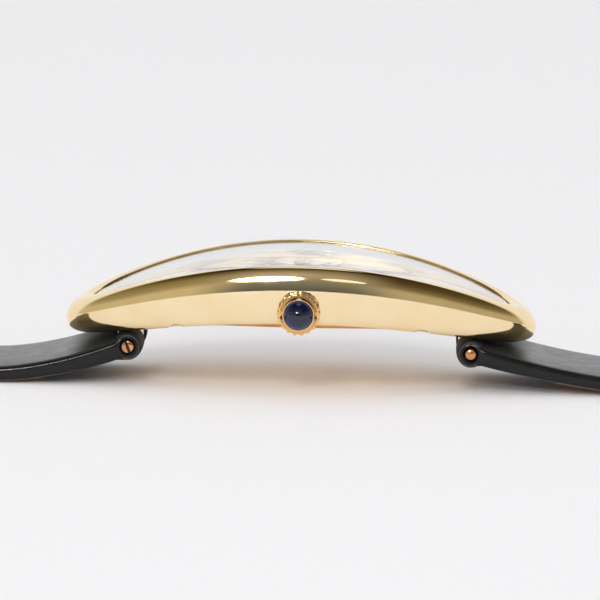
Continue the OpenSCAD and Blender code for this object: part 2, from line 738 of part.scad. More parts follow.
module train_bridge() {
    color("#e3e1d8") difference() {
        bridge_plate([[1.6, -far], [1.6, -2], split, [2.2, 4.5], [2.2, far], [far, far], [far, -far]]);
        for (at = [third_at, fourth_at, escape_at]) arbor(at, 0, 2, pivot_r + run_gap);
        for (s = [screw_spots[2], screw_spots[3], screw_spots[4]]) arbor(s, 0, 2, 0.25);
    }
}
module balance_cock() {
    color("#e3e1d8") difference() {
        bridge_plate([split, [2.2, 4.5], [2.2, far], [-far, far], [-far, 2.9 + 7]]);
        for (at = [balance_at, fork_at]) arbor(at, 0, 2, pivot_r + run_gap);
        arbor(screw_spots[5], 0, 2, 0.25);
    }
}
module bridge_screws() {
    color("#8fa3c4") for (s = screw_spots) difference() {
        union() {
            arbor(s, bridge_low - 0.16, bridge_low, 0.42);
            arbor(s, bridge_low - eps, 1.9, 0.25);
        }
        translate([s[0] - 0.5, s[1] - 0.06, bridge_low - 0.2]) cube([1, 0.12, 0.12]);
    }
}
module jewels() {
    color("#b0324f") for (at = [third_at, fourth_at, escape_at, balance_at]) difference() {
        arbor(at, bridge_low - 0.08, bridge_low, 0.34);
        arbor(at, 0, 2, pivot_r + run_gap);
    }
}

// Ring that holds the round movement in the oval case
module movement_ring() {
    color("#cfc7a8") difference() {
        intersection() {
            oval_block(cavity_a - part_gap, cavity_b - seat_gap, -5, 20);
            arched_wall(arch_line(girth_a, girth_h - seam_drop - 0.1, girth_arch),
                arch_line(girth_a, foot_h + back_seat + 0.25, foot_arch), case_wid);
        }
        cylinder(r = plate_r + seat_gap, h = 20, $fn = 96, center = true);
        translate([-1.05, -case_wid, -1]) cube([2.1, case_wid, 4.2]);
    }
}

// Keyless work: crown, stem and pinions on one axis along Y
module along_stem(y) {
    translate([0, y, stem_h]) rotate([90, 0, 0]) children();
}
tube_in = cavity_b - 0.25;
crown_back = girth_b + 0.02 + part_gap;
module crown_tube() {
    color("#e9c98a") along_stem(-tube_in) difference() {
        cylinder(r = tube_r - run_gap / 2, h = crown_back + 0.55 - tube_in, $fn = 48);
        translate([0, 0, -1]) cylinder(r = stem_dia / 2 + run_gap, h = 6, $fn = 48);
    }
}
crown_r = crown_dia / 2;
collar_r = stone_dia / 2 + 0.12;
stone_sunk = 0.25;
module crown() {
    color("#efc982") difference() {
        along_stem(-crown_back) rotate_extrude($fn = 72) polygon([
            [0, 0], [crown_r - 0.15, 0], [crown_r, 0.15], [crown_r, crown_wid - 0.12],
            [crown_r - 0.12, crown_wid], [crown_r - 0.26, crown_wid],
            [collar_r, crown_wid + collar_len], [0, crown_wid + collar_len]]);
        // flutes, which stop short of the thin rim at the back
        for (k = [0 : flutes - 1]) along_stem(-crown_back - 0.3)
            rotate([0, 0, 360 * k / flutes]) translate([crown_r + 0.08, 0, 0])
                cylinder(r = 0.26, h = 3, $fn = 20);
        // seat of the stone and room for the tube
        along_stem(-crown_back - crown_wid - collar_len + stone_sunk)
            cylinder(r = stone_dia / 2, h = 1, $fn = 48);
        along_stem(-crown_back + 1) cylinder(r = tube_r + run_gap, h = 1.65, $fn = 48);
    }
}
module crown_cabochon() {
    stone_r = stone_dia / 2;
    dome_r = (stone_r * stone_r + stone_dome * stone_dome) / (2 * stone_dome);
    color("#101c4a") along_stem(-crown_back - crown_wid - collar_len + stone_sunk)
        rotate_extrude($fn = 60) polygon(concat([[0, 0], [stone_r - 0.01, 0]],
            [for (i = [0 : 10]) let (r = (stone_r - 0.01) * (1 - i / 10))
                [r, stone_sunk + stone_dome - dome_r + sqrt(dome_r * dome_r - r * r)]]));
}
pinion_at = 5.5;
clutch_at = 4.2;
pinion_r = 0.78;
// The stem is thinner where it carries the two pinions
stem_core = 0.3;
stem_step = 6.45;
module winding_stem() {
    color("#bfc3c9") {
        along_stem(-3.95) cylinder(r = stem_core, h = stem_step - 3.95 + eps, $fn = 40);
        along_stem(-stem_step) cylinder(r = stem_dia / 2, h = crown_back + 0.65 - stem_step, $fn = 40);
    }
}
module winding_pinion() {
    color("#bfc3c9") along_stem(-pinion_at) difference() {
        union() {
            gear(14, 2 * pinion_r / 15.4, 0.6, 0);
            cylinder(r = 0.55, h = 0.8, $fn = 40);
        }
        translate([0, 0, -1]) cylinder(r = stem_core + run_gap, h = 3, $fn = 40);
    }
}
module sliding_pinion() {
    color("#bfc3c9") along_stem(-clutch_at) difference() {
        rotate_extrude($fn = 48) polygon([[stem_core + run_gap, 0], [0.5, 0], [0.5, 0.35], [0.42, 0.35],
            [0.42, 0.6], [0.5, 0.6], [0.5, 1.1], [stem_core + run_gap, 1.1]]);
        for (k = [0 : 9]) rotate([0, 0, 36 * k]) translate([0.52, 0, -1])
            cylinder(r = 0.05, h = 1.3, $fn = 16);
    }
}

// Straps: the side view drops from the loop round the bar to the table, the plan narrows to the end
rest_z = -table_drop;
function smooth(u) = let (v = max(0, min(1, u))) v * v * (3 - 2 * v);
fall_from = 0.9;
fall_to = 14;
top_over = 0.75;
low_under = 1.45;
top_power = 2.1;
low_power = 1.55;
// Share of the fall still to come at a distance s from the bar
function fall_left(s, power) =
    pow(max(0, min(1, 1 - (s - fall_from) / (fall_to - fall_from))), power);
function strap_top(s) = rest_z + strap_thick
    + (top_over - bar_drop - rest_z - strap_thick) * fall_left(s, top_power);
function strap_low(s) = rest_z + (-low_under - bar_drop - rest_z) * fall_left(s, low_power);

// Round the bar the leather is a little narrower
neck_in = 0.3;
neck_len = 1.6;
function strap_half(s, length) = strap_wid / 2 - neck_in * (1 - smooth(s / neck_len))
    + (strap_end_wid - strap_wid) / 2 * smooth(s / length * 1.1);

// The tip of the 6 o'clock strap is a rounded point
tip_len = 9;
function tip_half(s, length) = let (u = (s - (length - tip_len)) / tip_len)
    u <= 0 ? 1 : sqrt(max(0, 1 - pow(u, 2.2)));

// At the buckle the strap swells into the loop round the buckle's bar
swell_len = 6;
buckle_loop_r = strap_thick;
buckle_z = rest_z + buckle_loop_r;
function swell(s, length, tip) = tip ? 0 : smooth((s - length + swell_len) / swell_len);
function fall_line(length, tip) = concat(
    [for (i = [0 : 14]) 1.1 + i * 0.95],
    [length - (tip ? tip_len : swell_len)],
    tip ? [length] : [for (i = [1 : 5]) length - swell_len + (swell_len - 1) * i / 5]);
function arc(cx, cz, r, from, to, steps) =
    [for (i = [0 : steps]) let (t = from + (to - from) * i / steps) [cx + r * cos(t), cz + r * sin(t)]];

module strap_side(length, tip) {
    line = fall_line(length, tip);
    polygon(concat(
        arc(0, -bar_drop, loop_r, 38, 300, 24),
        [for (s = line) [s, strap_low(s)]],
        tip ? [] : arc(length, buckle_z, buckle_loop_r, -88, 100, 20),
        [for (i = [len(line) - 1 : -1 : 0]) let (s = line[i])
            [s, strap_top(s) + (2 * buckle_loop_r - strap_thick - run_gap) * swell(s, length, tip)]]));
}
module strap_plan(length, tip, inset) {
    line = concat([-2 * loop_r], [for (i = [0 : 8]) i * neck_len / 8],
        [for (i = [1 : 10]) neck_len + (length - tip_len - neck_len) * i / 10],
        tip ? [for (i = [1 : 12]) length - tip_len + (tip_len - inset) * sin(90 * i / 12)]
            : [length + 2 * buckle_loop_r]);
    half = [for (s = line)
        max(0.2, strap_half(s, length) * (tip ? tip_half(s + inset, length) : 1) - inset)];
    n = len(line);
    polygon(concat([for (i = [0 : n - 1]) [line[i], -half[i]]],
        [for (i = [n - 1 : -1 : 0]) [line[i], half[i]]]));
}
module strap_body(length, tip) {
    intersection() {
        rotate([90, 0, 0]) translate([0, 0, -strap_wid]) linear_extrude(2 * strap_wid)
            strap_side(length, tip);
        translate([0, 0, -far]) linear_extrude(2 * far) strap_plan(length, tip, 0);
    }
}

// The lining fills the underside from where the leather's turned edge ends
lining_from = 8.5;
lining_edge = 0.12;
module lining_body(length, tip, below) {
    line = concat([for (i = [0 : 6]) lining_from + i * 0.9], [length - (tip ? 0 : swell_len + 1)]);
    n = len(line);
    intersection() {
        rotate([90, 0, 0]) translate([0, 0, -strap_wid]) linear_extrude(2 * strap_wid)
            polygon(concat([for (s = line) [s, strap_low(s) - below]],
                [for (i = [n - 1 : -1 : 0]) [line[i], strap_low(line[i]) + lining_thick]]));
        translate([0, 0, -far]) linear_extrude(2 * far) strap_plan(length, tip, lining_edge);
    }
}

module bar_hole(r, half) {
    rotate([90, 0, 0]) translate([0, 0, -half]) cylinder(r = r, h = 2 * half, $fn = 48);
}
ear_half = strap_wid / 2 - neck_in;
fork_half = lug_wid / 2 + part_gap;
fork_len = lug_r + 0.35;
bore_r = bar_dia / 2 + run_gap;
module strap_cuts() {
    translate([-3, -fork_half, -bar_drop - 3]) cube([3 + fork_len, 2 * fork_half, 6]);
    translate([0, 0, -bar_drop]) {
        bar_hole(bore_r, strap_wid);
        for (m = [0, 1]) mirror([0, m, 0]) translate([0, ear_half - 0.7, 0]) rotate([-90, 0, 0])
            cylinder(r = bore_r + 0.16, h = 2, $fn = 48);
    }
}
module strap_holes() {
    for (k = [0 : buckle_holes - 1]) translate([strap_6_len - 24 - k * hole_pitch, 0, rest_z - 1])
        cylinder(r = hole_dia / 2, h = 5, $fn = 32);
}
tongue_slot = 2.6;

module strap_12_leather() {
    color("#1c1c1e") translate([bar_at, 0, 0]) difference() {
        strap_body(strap_12_len, false);
        strap_cuts();
        lining_body(strap_12_len, false, 0.5);
        translate([strap_12_len, 0, buckle_z]) bar_hole(pin_dia / 2 + run_gap, strap_wid);
        translate([strap_12_len - 3.2, -tongue_slot / 2, rest_z - 1]) cube([10, tongue_slot, 8]);
    }
}
module strap_12_lining() {
    color("#b98a5e") translate([bar_at, 0, 0]) lining_body(strap_12_len, false, 0);
}
module strap_6_leather() {
    color("#1c1c1e") mirror([1, 0, 0]) translate([bar_at, 0, 0]) difference() {
        strap_body(strap_6_len, true);
        strap_cuts();
        lining_body(strap_6_len, true, 0.5);
        strap_holes();
    }
}
module strap_6_lining() {
    color("#b98a5e") mirror([1, 0, 0]) translate([bar_at, 0, 0]) difference() {
        lining_body(strap_6_len, true, 0);
        strap_holes();
    }
}

// Strap bars: a tube with a round closed end, and a slotted screw from the other side
bar_r = bar_dia / 2;
bar_half = strap_wid / 2 - 0.35;
screw_core = 0.35;
screw_head = 0.8;
module bar_tube() {
    difference() {
        union() {
            translate([0, bar_half - screw_head, 0]) rotate([90, 0, 0])
                cylinder(r = bar_r, h = 2 * bar_half - screw_head - 0.25, $fn = 40);
            translate([0, -bar_half + 0.25, 0]) rotate([90, 0, 0]) rotate_extrude($fn = 40)
                polygon([[0, -0.1], [bar_r, -0.1], [bar_r, 0], [bar_r * 0.9, 0.13],
                    [bar_r * 0.6, 0.22], [0, 0.25]]);
        }
        translate([0, bar_half, 0]) rotate([90, 0, 0]) cylinder(r = screw_core, h = 5, $fn = 30);
    }
}
module bar_screw() {
    difference() {
        union() {
            translate([0, bar_half, 0]) rotate([90, 0, 0]) cylinder(r = bar_r, h = screw_head, $fn = 40);
            translate([0, bar_half - screw_head + eps, 0]) rotate([90, 0, 0])
                cylinder(r = screw_core, h = 3.5, $fn = 30);
        }
        translate([0, bar_half, 0]) rotate([0, 12, 0]) translate([-0.17, -0.3, -2]) cube([0.34, 1, 4]);
    }
}
module strap_bar_12() {
    color("#c98a5e") translate([bar_at, 0, -bar_drop]) bar_tube();
}
module strap_screw_12() {
    color("#c98a5e") translate([bar_at, 0, -bar_drop]) bar_screw();
}
module strap_bar_6() {
    color("#c98a5e") translate([-bar_at, 0, -bar_drop]) rotate([0, 0, 180]) bar_tube();
}
module strap_screw_6() {
    color("#c98a5e") translate([-bar_at, 0, -bar_drop]) rotate([0, 0, 180]) bar_screw();
}

// Buckle: a bowed wire frame on the spring bar, with a tongue over its bow
pin_x = bar_at + strap_12_len;
frame_half = strap_end_wid / 2 + 0.35 + wire_dia / 2;
wire_r = wire_dia / 2;
pin_tip_r = pin_dia / 2 - 0.25;
bow_z = rest_z + wire_r;
function bow_point(t) =
    let (c = cos(t), s = sin(t))
    [pin_x + buckle_reach * pow(max(0, c), 0.45), frame_half * sign(s) * pow(abs(s), 0.5),
     buckle_z + (bow_z - buckle_z) * smooth(pow(max(0, c), 0.45))];
bow_steps = 32;
module buckle_frame() {
    path = [for (i = [0 : bow_steps]) bow_point(-90 + 180 * i / bow_steps)];
    rings = [for (i = [0 : bow_steps])
        let (p = path[i], a = path[max(0, i - 1)], b = path[min(bow_steps, i + 1)],
             d = (b - a) / norm(b - a), flat = cross(d, [0, 0, 1]),
             side = flat / norm(flat), up = cross(side, d))
        each [for (k = [0 : 9]) p + wire_r * (side * cos(36 * k + 18) + up * sin(36 * k + 18))]];
    color("#eac47c") difference() {
        union() {
            polyhedron(rings, tube_faces(bow_steps + 1, 10), convexity = 6);
            for (m = [-1, 1]) translate([pin_x, m * frame_half, buckle_z]) rotate([90, 0, 0])
                translate([0, 0, -wire_r]) cylinder(r = wire_r + 0.25, h = wire_dia, $fn = 40);
        }
        translate([pin_x, 0, buckle_z])
            bar_hole(pin_tip_r + run_gap, frame_half - 0.05 + wire_r / 2);
    }
}
module buckle_spring_bar() {
    color("#b9bcc1") translate([pin_x, 0, buckle_z]) {
        bar_hole(pin_dia / 2, strap_end_wid / 2 + 0.25);
        bar_hole(pin_tip_r, frame_half + 0.2);
    }
}
tongue_r = 0.55;
tongue_ring = pin_dia / 2 + run_gap + 0.55;
module buckle_tongue() {
    reach = buckle_reach + wire_r * 0.6;
    rise = bow_z + wire_r + tongue_r + 0.12 - buckle_z;
    color("#eac47c") translate([pin_x, 0, buckle_z]) difference() {
        union() {
            bar_hole(tongue_ring, 1.1);
            hull() {
                translate([0.3, 0, tongue_ring - tongue_r]) bar_hole(tongue_r, 0.9);
                translate([reach, 0, rise]) bar_hole(tongue_r * 0.8, 0.55);
            }
        }
        bar_hole(pin_dia / 2 + run_gap, 2);
    }
}

// Keepers: closed leather loops round the strap, one sewn in place and one free
keeper_side = 0.25;
module keeper(at) {
    half = strap_half(at - bar_at, strap_12_len) + keeper_side;
    side = half + keeper_thick;
    inner = strap_thick + keeper_room;
    top = inner + keeper_thick;
    translate([at - keeper_len / 2, 0, rest_z]) rotate([90, 0, 90]) linear_extrude(keeper_len)
        difference() {
            polygon([[-side, 0.3], [-side + 0.3, 0], [side - 0.3, 0], [side, 0.3],
                [side, top - 0.5], [side - 0.5, top], [-side + 0.5, top], [-side, top - 0.5]]);
            translate([-half, -1]) square([2 * half, inner + 1]);
        }
}
fixed_at = pin_x - 6;
free_at = pin_x - 18;
module fixed_keeper() {
    color("#1c1c1e") keeper(fixed_at);
}
module free_keeper() {
    color("#1c1c1e") keeper(free_at);
}

case_band();
bezel();
crystal();
crystal_gasket();
case_back();
back_gasket();
crown_tube();
crown();
crown_cabochon();
winding_stem();
winding_pinion();
sliding_pinion();
dial();
hour_hand();
minute_hand();
cannon_pinion();
minute_wheel();
hour_wheel();
movement_ring();
mainplate();
barrel_bridge();
train_bridge();
balance_cock();
bridge_screws();
jewels();
barrel();
ratchet_wheel();
crown_wheel();
click();
centre_wheel();
third_wheel();
fourth_wheel();
escape_wheel();
pallet_fork();
balance_wheel();
hairspring();
strap_12_leather();
strap_12_lining();
strap_6_leather();
strap_6_lining();
strap_bar_12();
strap_screw_12();
strap_bar_6();
strap_screw_6();
buckle_frame();
buckle_tongue();
buckle_spring_bar();
fixed_keeper();
free_keeper();
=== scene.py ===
"""Dressed model of an arched oval dress watch, lying face up on its two open straps.

It follows the watch as it is put together: case, movement, dial and hands, bezel and crystal,
crown, strap bars, straps, keepers and buckle, and last the table, the light and the camera.
"""

import math

import bmesh
import bpy
from mathutils import Matrix, Vector


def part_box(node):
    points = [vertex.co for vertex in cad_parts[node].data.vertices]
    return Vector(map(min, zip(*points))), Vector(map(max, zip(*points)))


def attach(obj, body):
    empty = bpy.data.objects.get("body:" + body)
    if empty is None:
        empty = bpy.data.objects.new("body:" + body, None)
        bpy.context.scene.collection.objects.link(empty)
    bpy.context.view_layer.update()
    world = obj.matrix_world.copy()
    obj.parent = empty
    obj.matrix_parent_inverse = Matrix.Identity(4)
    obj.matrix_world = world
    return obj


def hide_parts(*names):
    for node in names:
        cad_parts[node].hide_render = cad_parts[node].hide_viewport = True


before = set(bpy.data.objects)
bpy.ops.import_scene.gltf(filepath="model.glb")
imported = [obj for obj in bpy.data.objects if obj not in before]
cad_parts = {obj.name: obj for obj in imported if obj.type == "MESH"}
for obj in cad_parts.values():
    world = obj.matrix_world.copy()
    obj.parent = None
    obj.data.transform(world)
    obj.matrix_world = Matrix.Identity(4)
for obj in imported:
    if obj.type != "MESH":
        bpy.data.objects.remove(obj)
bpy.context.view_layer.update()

# Case band
# The band is the lower half of the case, milled from yellow gold and polished to a mirror.
# It is drawn in below the widest line, and two notches in its lower edge open the back.

MM = 0.001
# half length and half width of the ovals, in mm
GIRTH = (23.5, 10.5)
FOOT = (21.7, 9.95)
HOLLOW = (20.7, 8.95)
SEAM_DROP = 0.2
# the seat of the back: its depth, and how much wider than the hollow it is
BACK_SEAT, SEAT_WIDER = 0.9, 0.35
ROUND_STEPS = 480
ROLL_STEPS = 32


def arch(x, top, radius):
    """Height at x of an arc that is highest at the middle of the watch."""
    return top - radius + math.sqrt(radius * radius - x * x)


def girth_z(x):
    return arch(x, 3.8, 66)


def foot_z(x):
    return arch(x, 0.45, 92)


def linear(hex_code):
    """An sRGB hex colour as linear red, green, blue and alpha."""
    parts = [int(hex_code[i:i + 2], 16) / 255 for i in (1, 3, 5)]
    return [p / 12.92 if p <= 0.04045 else ((p + 0.055) / 1.055) ** 2.4 for p in parts] + [1.0]


def feed(tree, target, inputs):
    """Sets a node's inputs: each is a fixed value, another node's socket, or a node's first output."""
    for key, value in inputs.items():
        if isinstance(value, bpy.types.Node):
            value = value.outputs[0]
        if isinstance(value, bpy.types.NodeSocket):
            tree.links.new(value, target.inputs[key])
        else:
            target.inputs[key].default_value = value


def node(tree, kind, inputs, stops=(), **settings):
    """Adds one shader node with its inputs and settings; stops are (place, hex colour) pairs."""
    made = tree.nodes.new("ShaderNode" + kind)
    for key, value in settings.items():
        setattr(made, key, value)
    if stops:
        elements = made.color_ramp.elements
        while len(elements) < len(stops):
            elements.new(0.5)
        for element, (place, colour) in zip(elements, stops):
            element.position, element.color = place, linear(colour)
    feed(tree, made, inputs)
    return made


def finish(name):
    """A new material: its node tree, its surface shader and the place on the piece, in metres."""
    material = bpy.data.materials.new(name)
    material.use_nodes = True
    tree = material.node_tree
    place = node(tree, "TexCoord", {}).outputs["Object"]
    return material, tree, tree.nodes["Principled BSDF"], place


def grained(tree, shader, grain, stops, strength=0.0, depth=0.0):
    """Colours a surface by its grain, and raises the grain by a strength and a depth in metres."""
    feed(tree, shader, {"Base Color": node(tree, "ValToRGB", {"Fac": grain}, stops)})
    if strength:
        raised = {"Height": grain, "Strength": strength, "Distance": depth}
        feed(tree, shader, {"Normal": node(tree, "Bump", raised)})


def ring_faces(n, m, open_rings=False):
    """Quads between n rings of m points each; the last ring joins the first unless left open."""
    return [(i * m + j, i * m + (j + 1) % m, (i + 1) % n * m + (j + 1) % m, (i + 1) % n * m + j)
            for i in range(n - 1 if open_rings else n) for j in range(m)]


def angles(n):
    """The turns in radians of n equal steps round a circle."""
    return [math.tau * i / n for i in range(n)]


def bar_faces(n, m):
    """Quads along n rings of m points each, with both ends closed."""
    return ring_faces(n, m, open_rings=True) + [tuple(range(m)), tuple(range((n - 1) * m, n * m))]


def closed_mesh(name, points, faces):
    """A mesh from points in millimetres, with its faces turned outwards."""
    mesh = bpy.data.meshes.new(name)
    mesh.from_pydata([[c * MM for c in p] for p in points], [], faces)
    shape = bmesh.new()
    shape.from_mesh(mesh)
    bmesh.ops.remove_doubles(shape, verts=shape.verts, dist=1e-7)
    bmesh.ops.recalc_face_normals(shape, faces=shape.faces)
    shape.to_mesh(mesh)
    shape.free()
    return mesh


def soften(mesh, crease):
    """Smooth shading up to the crease angle in degrees."""
    mesh.polygons.foreach_set("use_smooth", [True] * len(mesh.polygons))
    mesh.set_sharp_from_angle(angle=math.radians(crease))


def piece(name, points, faces, material, body, slot, stands_for=(), crease=35):
    """A mesh from points in millimetres, riding on a body, smooth up to the crease angle."""
    mesh = closed_mesh(name, points, faces)
    soften(mesh, crease)
    mesh.materials.append(material)
    made = bpy.data.objects.new(name, mesh)
    bpy.context.scene.collection.objects.link(made)
    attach(made, body)
    if stands_for:
        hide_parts(*stands_for)
    return made


def cut(target, points, faces):
    """Cuts a closed shape, given in millimetres, out of a piece."""
    cutter = bpy.data.objects.new("cutter", closed_mesh("cutter", points, faces))
    bpy.context.scene.collection.objects.link(cutter)
    modifier = target.modifiers.new("cut", "BOOLEAN")
    modifier.object = cutter
    modifier.solver = "EXACT"
    graph = bpy.context.evaluated_depsgraph_get()
    target.data = bpy.data.meshes.new_from_object(target.evaluated_get(graph))
    target.modifiers.clear()
    bpy.data.objects.remove(cutter)
    soften(target.data, 32)


def rod(start, end, radius, sides=48):
    """Points and faces of a closed round bar between two points."""
    a, b = Vector(start), Vector(end)
    turn = (b - a).to_track_quat("Z", "Y")
    rings = [turn @ Vector((radius * math.cos(t), radius * math.sin(t), 0)) + c
             for c in (a, b) for t in angles(sides)]
    return [tuple(p) for p in rings], bar_faces(2, sides)


def per_metre(size):
    """The scale of a pattern whose features are a size in millimetres apart."""
    return 1 / (size * MM)


def polished_gold(name, tone, scratch=0.035, haze=0.045):
    """Yellow gold, buffed: a clean mirror with fine hairlines that catch the lamps."""
    material, tree, shader, place = finish(name)
    # single hairlines from cloths and cuffs are too fine to show, so they are drawn as bundles
    # 2.5 mm long and 0.2 mm wide
    stretch = node(tree, "Mapping", {
        "Vector": place, "Scale": [per_metre(size) for size in (2.5, 0.6944, 0.2083)],
        "Rotation": (0.3, 0.5, 0.2)})
    lines = node(tree, "TexNoise", {"Vector": stretch, "Scale": 1.0, "Detail": 3.0})
    # polishing haze in patches of two or three millimetres
    patches = node(tree, "TexNoise", {"Vector": place, "Scale": per_metre(2.632), "Detail": 2.0})
    rough = node(tree, "MapRange", {
        "Value": patches, "From Min": 0.35, "From Max": 0.7, "To Min": haze, "To Max": haze * 2.2})
    bump = node(tree, "Bump", {"Height": lines, "Strength": scratch, "Distance": 0.00002})
    grained(tree, shader, patches, [(0.3, tone[0]), (0.7, tone[1])])
    feed(tree, shader, {"Roughness": rough, "Normal": bump, "Metallic": 1.0})
    return material


case_gold = polished_gold("buffed_yellow_gold", ("#FFE9BE", "#FDE2B2"))


def oval(size, turn):
    """A point of an oval given by its half length and half width."""
    return size[0] * math.cos(turn), size[1] * math.sin(turn)


def band_ring(turn):
    """One cut through the band: the seam, the drawn-in side, the foot and the seat of the back."""
    wide, foot, hollow = oval(GIRTH, turn), oval(FOOT, turn), oval(HOLLOW, turn)
    seat = oval((HOLLOW[0] + SEAT_WIDER, HOLLOW[1] + SEAT_WIDER), turn)
    seam, low = girth_z(wide[0]) - SEAM_DROP, foot_z(foot[0])
    points = [(*hollow, girth_z(hollow[0]) - SEAM_DROP)]
    for k in range(ROLL_STEPS + 1):
        f = math.pi / 2 * k / ROLL_STEPS
        q, h = 1 - math.cos(f), math.sin(f) ** (2 / 2.6)
        points.append((wide[0] + (foot[0] - wide[0]) * q, wide[1] + (foot[1] - wide[1]) * q,
                       seam + (low - seam) * h))
    # the foot is eased with a small round before it turns in to the seat
    for k in (0.3, 0.7):
        points.append((foot[0] + (seat[0] - foot[0]) * k, foot[1] + (seat[1] - foot[1]) * k, low))
    points.append((*seat, foot_z(seat[0])))
    points.append((*seat, foot_z(seat[0]) + BACK_SEAT))
    points.append((*hollow, foot_z(hollow[0]) + BACK_SEAT))
    return points


cuts = [band_ring(turn) for turn in angles(ROUND_STEPS)]
band = piece("case_band_polished", [p for ring in cuts for p in ring],
             ring_faces(ROUND_STEPS, len(cuts[0])), case_gold, "case", "gold", ["case_band"], crease=30)
STEM_Z, TUBE_R = 1.75, 0.95
OUTSIDE = 12
cut(band, *rod((0, -8, STEM_Z), (0, -OUTSIDE, STEM_Z), TUBE_R))
# two scoops 1.6 mm wide and 0.35 mm deep in the lower edge, for the tool that lifts the back
NOTCH_AT, SCOOP_R, SCOOP_DEEP = 12.0, 1.09, 0.35
for x in (-NOTCH_AT, NOTCH_AT):
    low = foot_z(x) + SCOOP_DEEP - SCOOP_R
    cut(band, *rod((x, -OUTSIDE, low), (x, -HOLLOW[1] * 0.8, low), SCOOP_R))

# End floors and strap lugs
# Beyond the back, a floor closes each end of the case. One central lug hangs from each
# floor, bored for the strap bar, and the forked strap end goes round it.

FLOOR_AT = 14.6
BAR_AT, BAR_Z = 17.0, -2.7
LUG_R, LUG_HALF = 1.25, 2.0
BORE_R = 0.675

for clock, side in (("12", 1), ("6", -1)):
    stations = [FLOOR_AT + (HOLLOW[0] - FLOOR_AT) * math.sin(math.pi / 2 * k / 24) for k in range(25)]
    rings = []
    for x in stations:
        half = max(0.02, HOLLOW[1] * math.sqrt(max(0.0, 1 - (x / HOLLOW[0]) ** 2))) + 0.01
        low, high = foot_z(x), foot_z(x) + BACK_SEAT + 0.2
        rings += [(side * x, y, z) for y, z in ((-half, low), (half, low), (half, high), (-half, high))]
    piece(f"end_floor_{clock}", rings, bar_faces(len(stations), 4), case_gold, "case", "gold")
    # side view of the lug: a block with a round lower end, eased along both edges
    outline = [(BAR_AT + LUG_R * math.cos(a), BAR_Z + LUG_R * math.sin(a))
               for a in [math.pi + math.pi * k / 36 for k in range(37)]]
    outline += [(BAR_AT + LUG_R, foot_z(BAR_AT) + 0.4), (BAR_AT - LUG_R, foot_z(BAR_AT) + 0.4)]
    rings = []
    ease = [(-LUG_HALF, 0.12), (-LUG_HALF + 0.04, 0.04), (-LUG_HALF + 0.12, 0.0)]
    for y, inset in ease + [(-y, inset) for y, inset in reversed(ease)]:
        scale = (LUG_R - inset) / LUG_R
        rings += [(side * (BAR_AT + (x - BAR_AT) * scale), y,
                   BAR_Z + (z - BAR_Z) * scale if z < -0.5 else z) for x, z in outline]
    lug = piece(f"lug_{clock}", rings, bar_faces(2 * len(ease), len(outline)), case_gold, "case", "gold")
    cut(lug, *rod((side * BAR_AT, -5, BAR_Z), (side * BAR_AT, 5, BAR_Z), BORE_R))

# Case back
# The back is a short oval cover of the same gold that snaps into the band. Its middle is a
# flat land, brushed along the case, and its ends rise with the arch of the foot.

BACK_A, LAND_HALF = 14.45, 5.5
BACK_THICK, BACK_EASE, BACK_WIDER = 0.45, 0.12, 0.3


def back_z(x):
    """Height of the cover's underside: the flat land, then an arc to each end."""
    if abs(x) <= LAND_HALF:
        return 0.0
    run, rise = BACK_A - LAND_HALF, foot_z(BACK_A)
    return arch(abs(x) - LAND_HALF, 0.0, (run * run + rise * rise) / (2 * -rise))


# gold drawn over a fine abrasive belt, with lines 0.06 mm apart and about 6 mm long
back_gold, tree, shader, place = finish("brushed_yellow_gold")
stretch = node(tree, "Mapping", {
    "Vector": place, "Scale": [per_metre(size) for size in (6.25, 0.0625, 0.25)]})
lines = node(tree, "TexNoise", {"Vector": stretch, "Scale": 1.0, "Detail": 4.0})
grained(tree, shader, lines, [(0.3, "#F6CD92"), (0.7, "#FFE0AE")], 0.25, 0.00002)
feed(tree, shader, {"Metallic": 1.0, "Roughness": 0.22})

seat = (HOLLOW[0] + BACK_WIDER, HOLLOW[1] + BACK_WIDER)
stations = [-BACK_A + 2 * BACK_A * k / 96 for k in range(97)]
rings = []
for x in stations:
    half = seat[1] * math.sqrt(1 - (x / seat[0]) ** 2)
    end = min(1.0, (BACK_A - abs(x)) / BACK_EASE)
    ease = BACK_EASE * (1 - math.sqrt(max(0.0, 1 - (1 - end) ** 2)))
    z = back_z(x)
    rings += [(x, -half, z + BACK_THICK), (x, -half, z + BACK_EASE), (x, -half + 0.05, z + 0.04 + ease),
              (x, -half + 0.14, z + ease), (x, half - 0.14, z + ease), (x, half - 0.05, z + 0.04 + ease),
              (x, half, z + BACK_EASE), (x, half, z + BACK_THICK)]
cover = piece("case_back_brushed", rings, bar_faces(len(stations), 8), back_gold, "case", "gold",
              ["case_back"], crease=25)
# the middle of its front and back walls, under the band's foot, is painted a darker orange gold as
# painted shade
cover.data.materials.append(polished_gold("painted_shade_gold_edge", ("#DE9C5E", "#CC864A"), haze=0.16))
for face in cover.data.polygons:
    if abs(face.normal.y) > 0.6 and abs(face.center.x) < 9 * MM:
        face.material_index = 1

# Gaskets
# A black rubber ring seals the back, and a pale moulded ring seats the crystal.


def moulded(name, colours, roughness, grain_mm):
    """A moulded or cast finish: even colour with a faint grain."""
    material, tree, shader, place = finish(name)
    grain = node(tree, "TexNoise", {
        "Vector": place, "Scale": per_metre(grain_mm), "Detail": 3.0})
    grained(tree, shader, grain, [(0.3, colours[0]), (0.7, colours[1])], 0.15, 0.00003)
    feed(tree, shader, {"Roughness": roughness, "IOR": 1.5})
    return material


def refinish(material, *names):
    """Gives CAD nodes whose shape is right their real finish."""
    for name in names:
        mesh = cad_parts[name].data
        mesh.materials.clear()
        mesh.materials.append(material)


refinish(moulded("nitrile_rubber", ("#17181A", "#232427"), 0.6, 0.1), "back_gasket")
refinish(moulded("white_acetal_ring", ("#E4E2DC", "#EFEDE8"), 0.35, 0.2), "crystal_gasket")
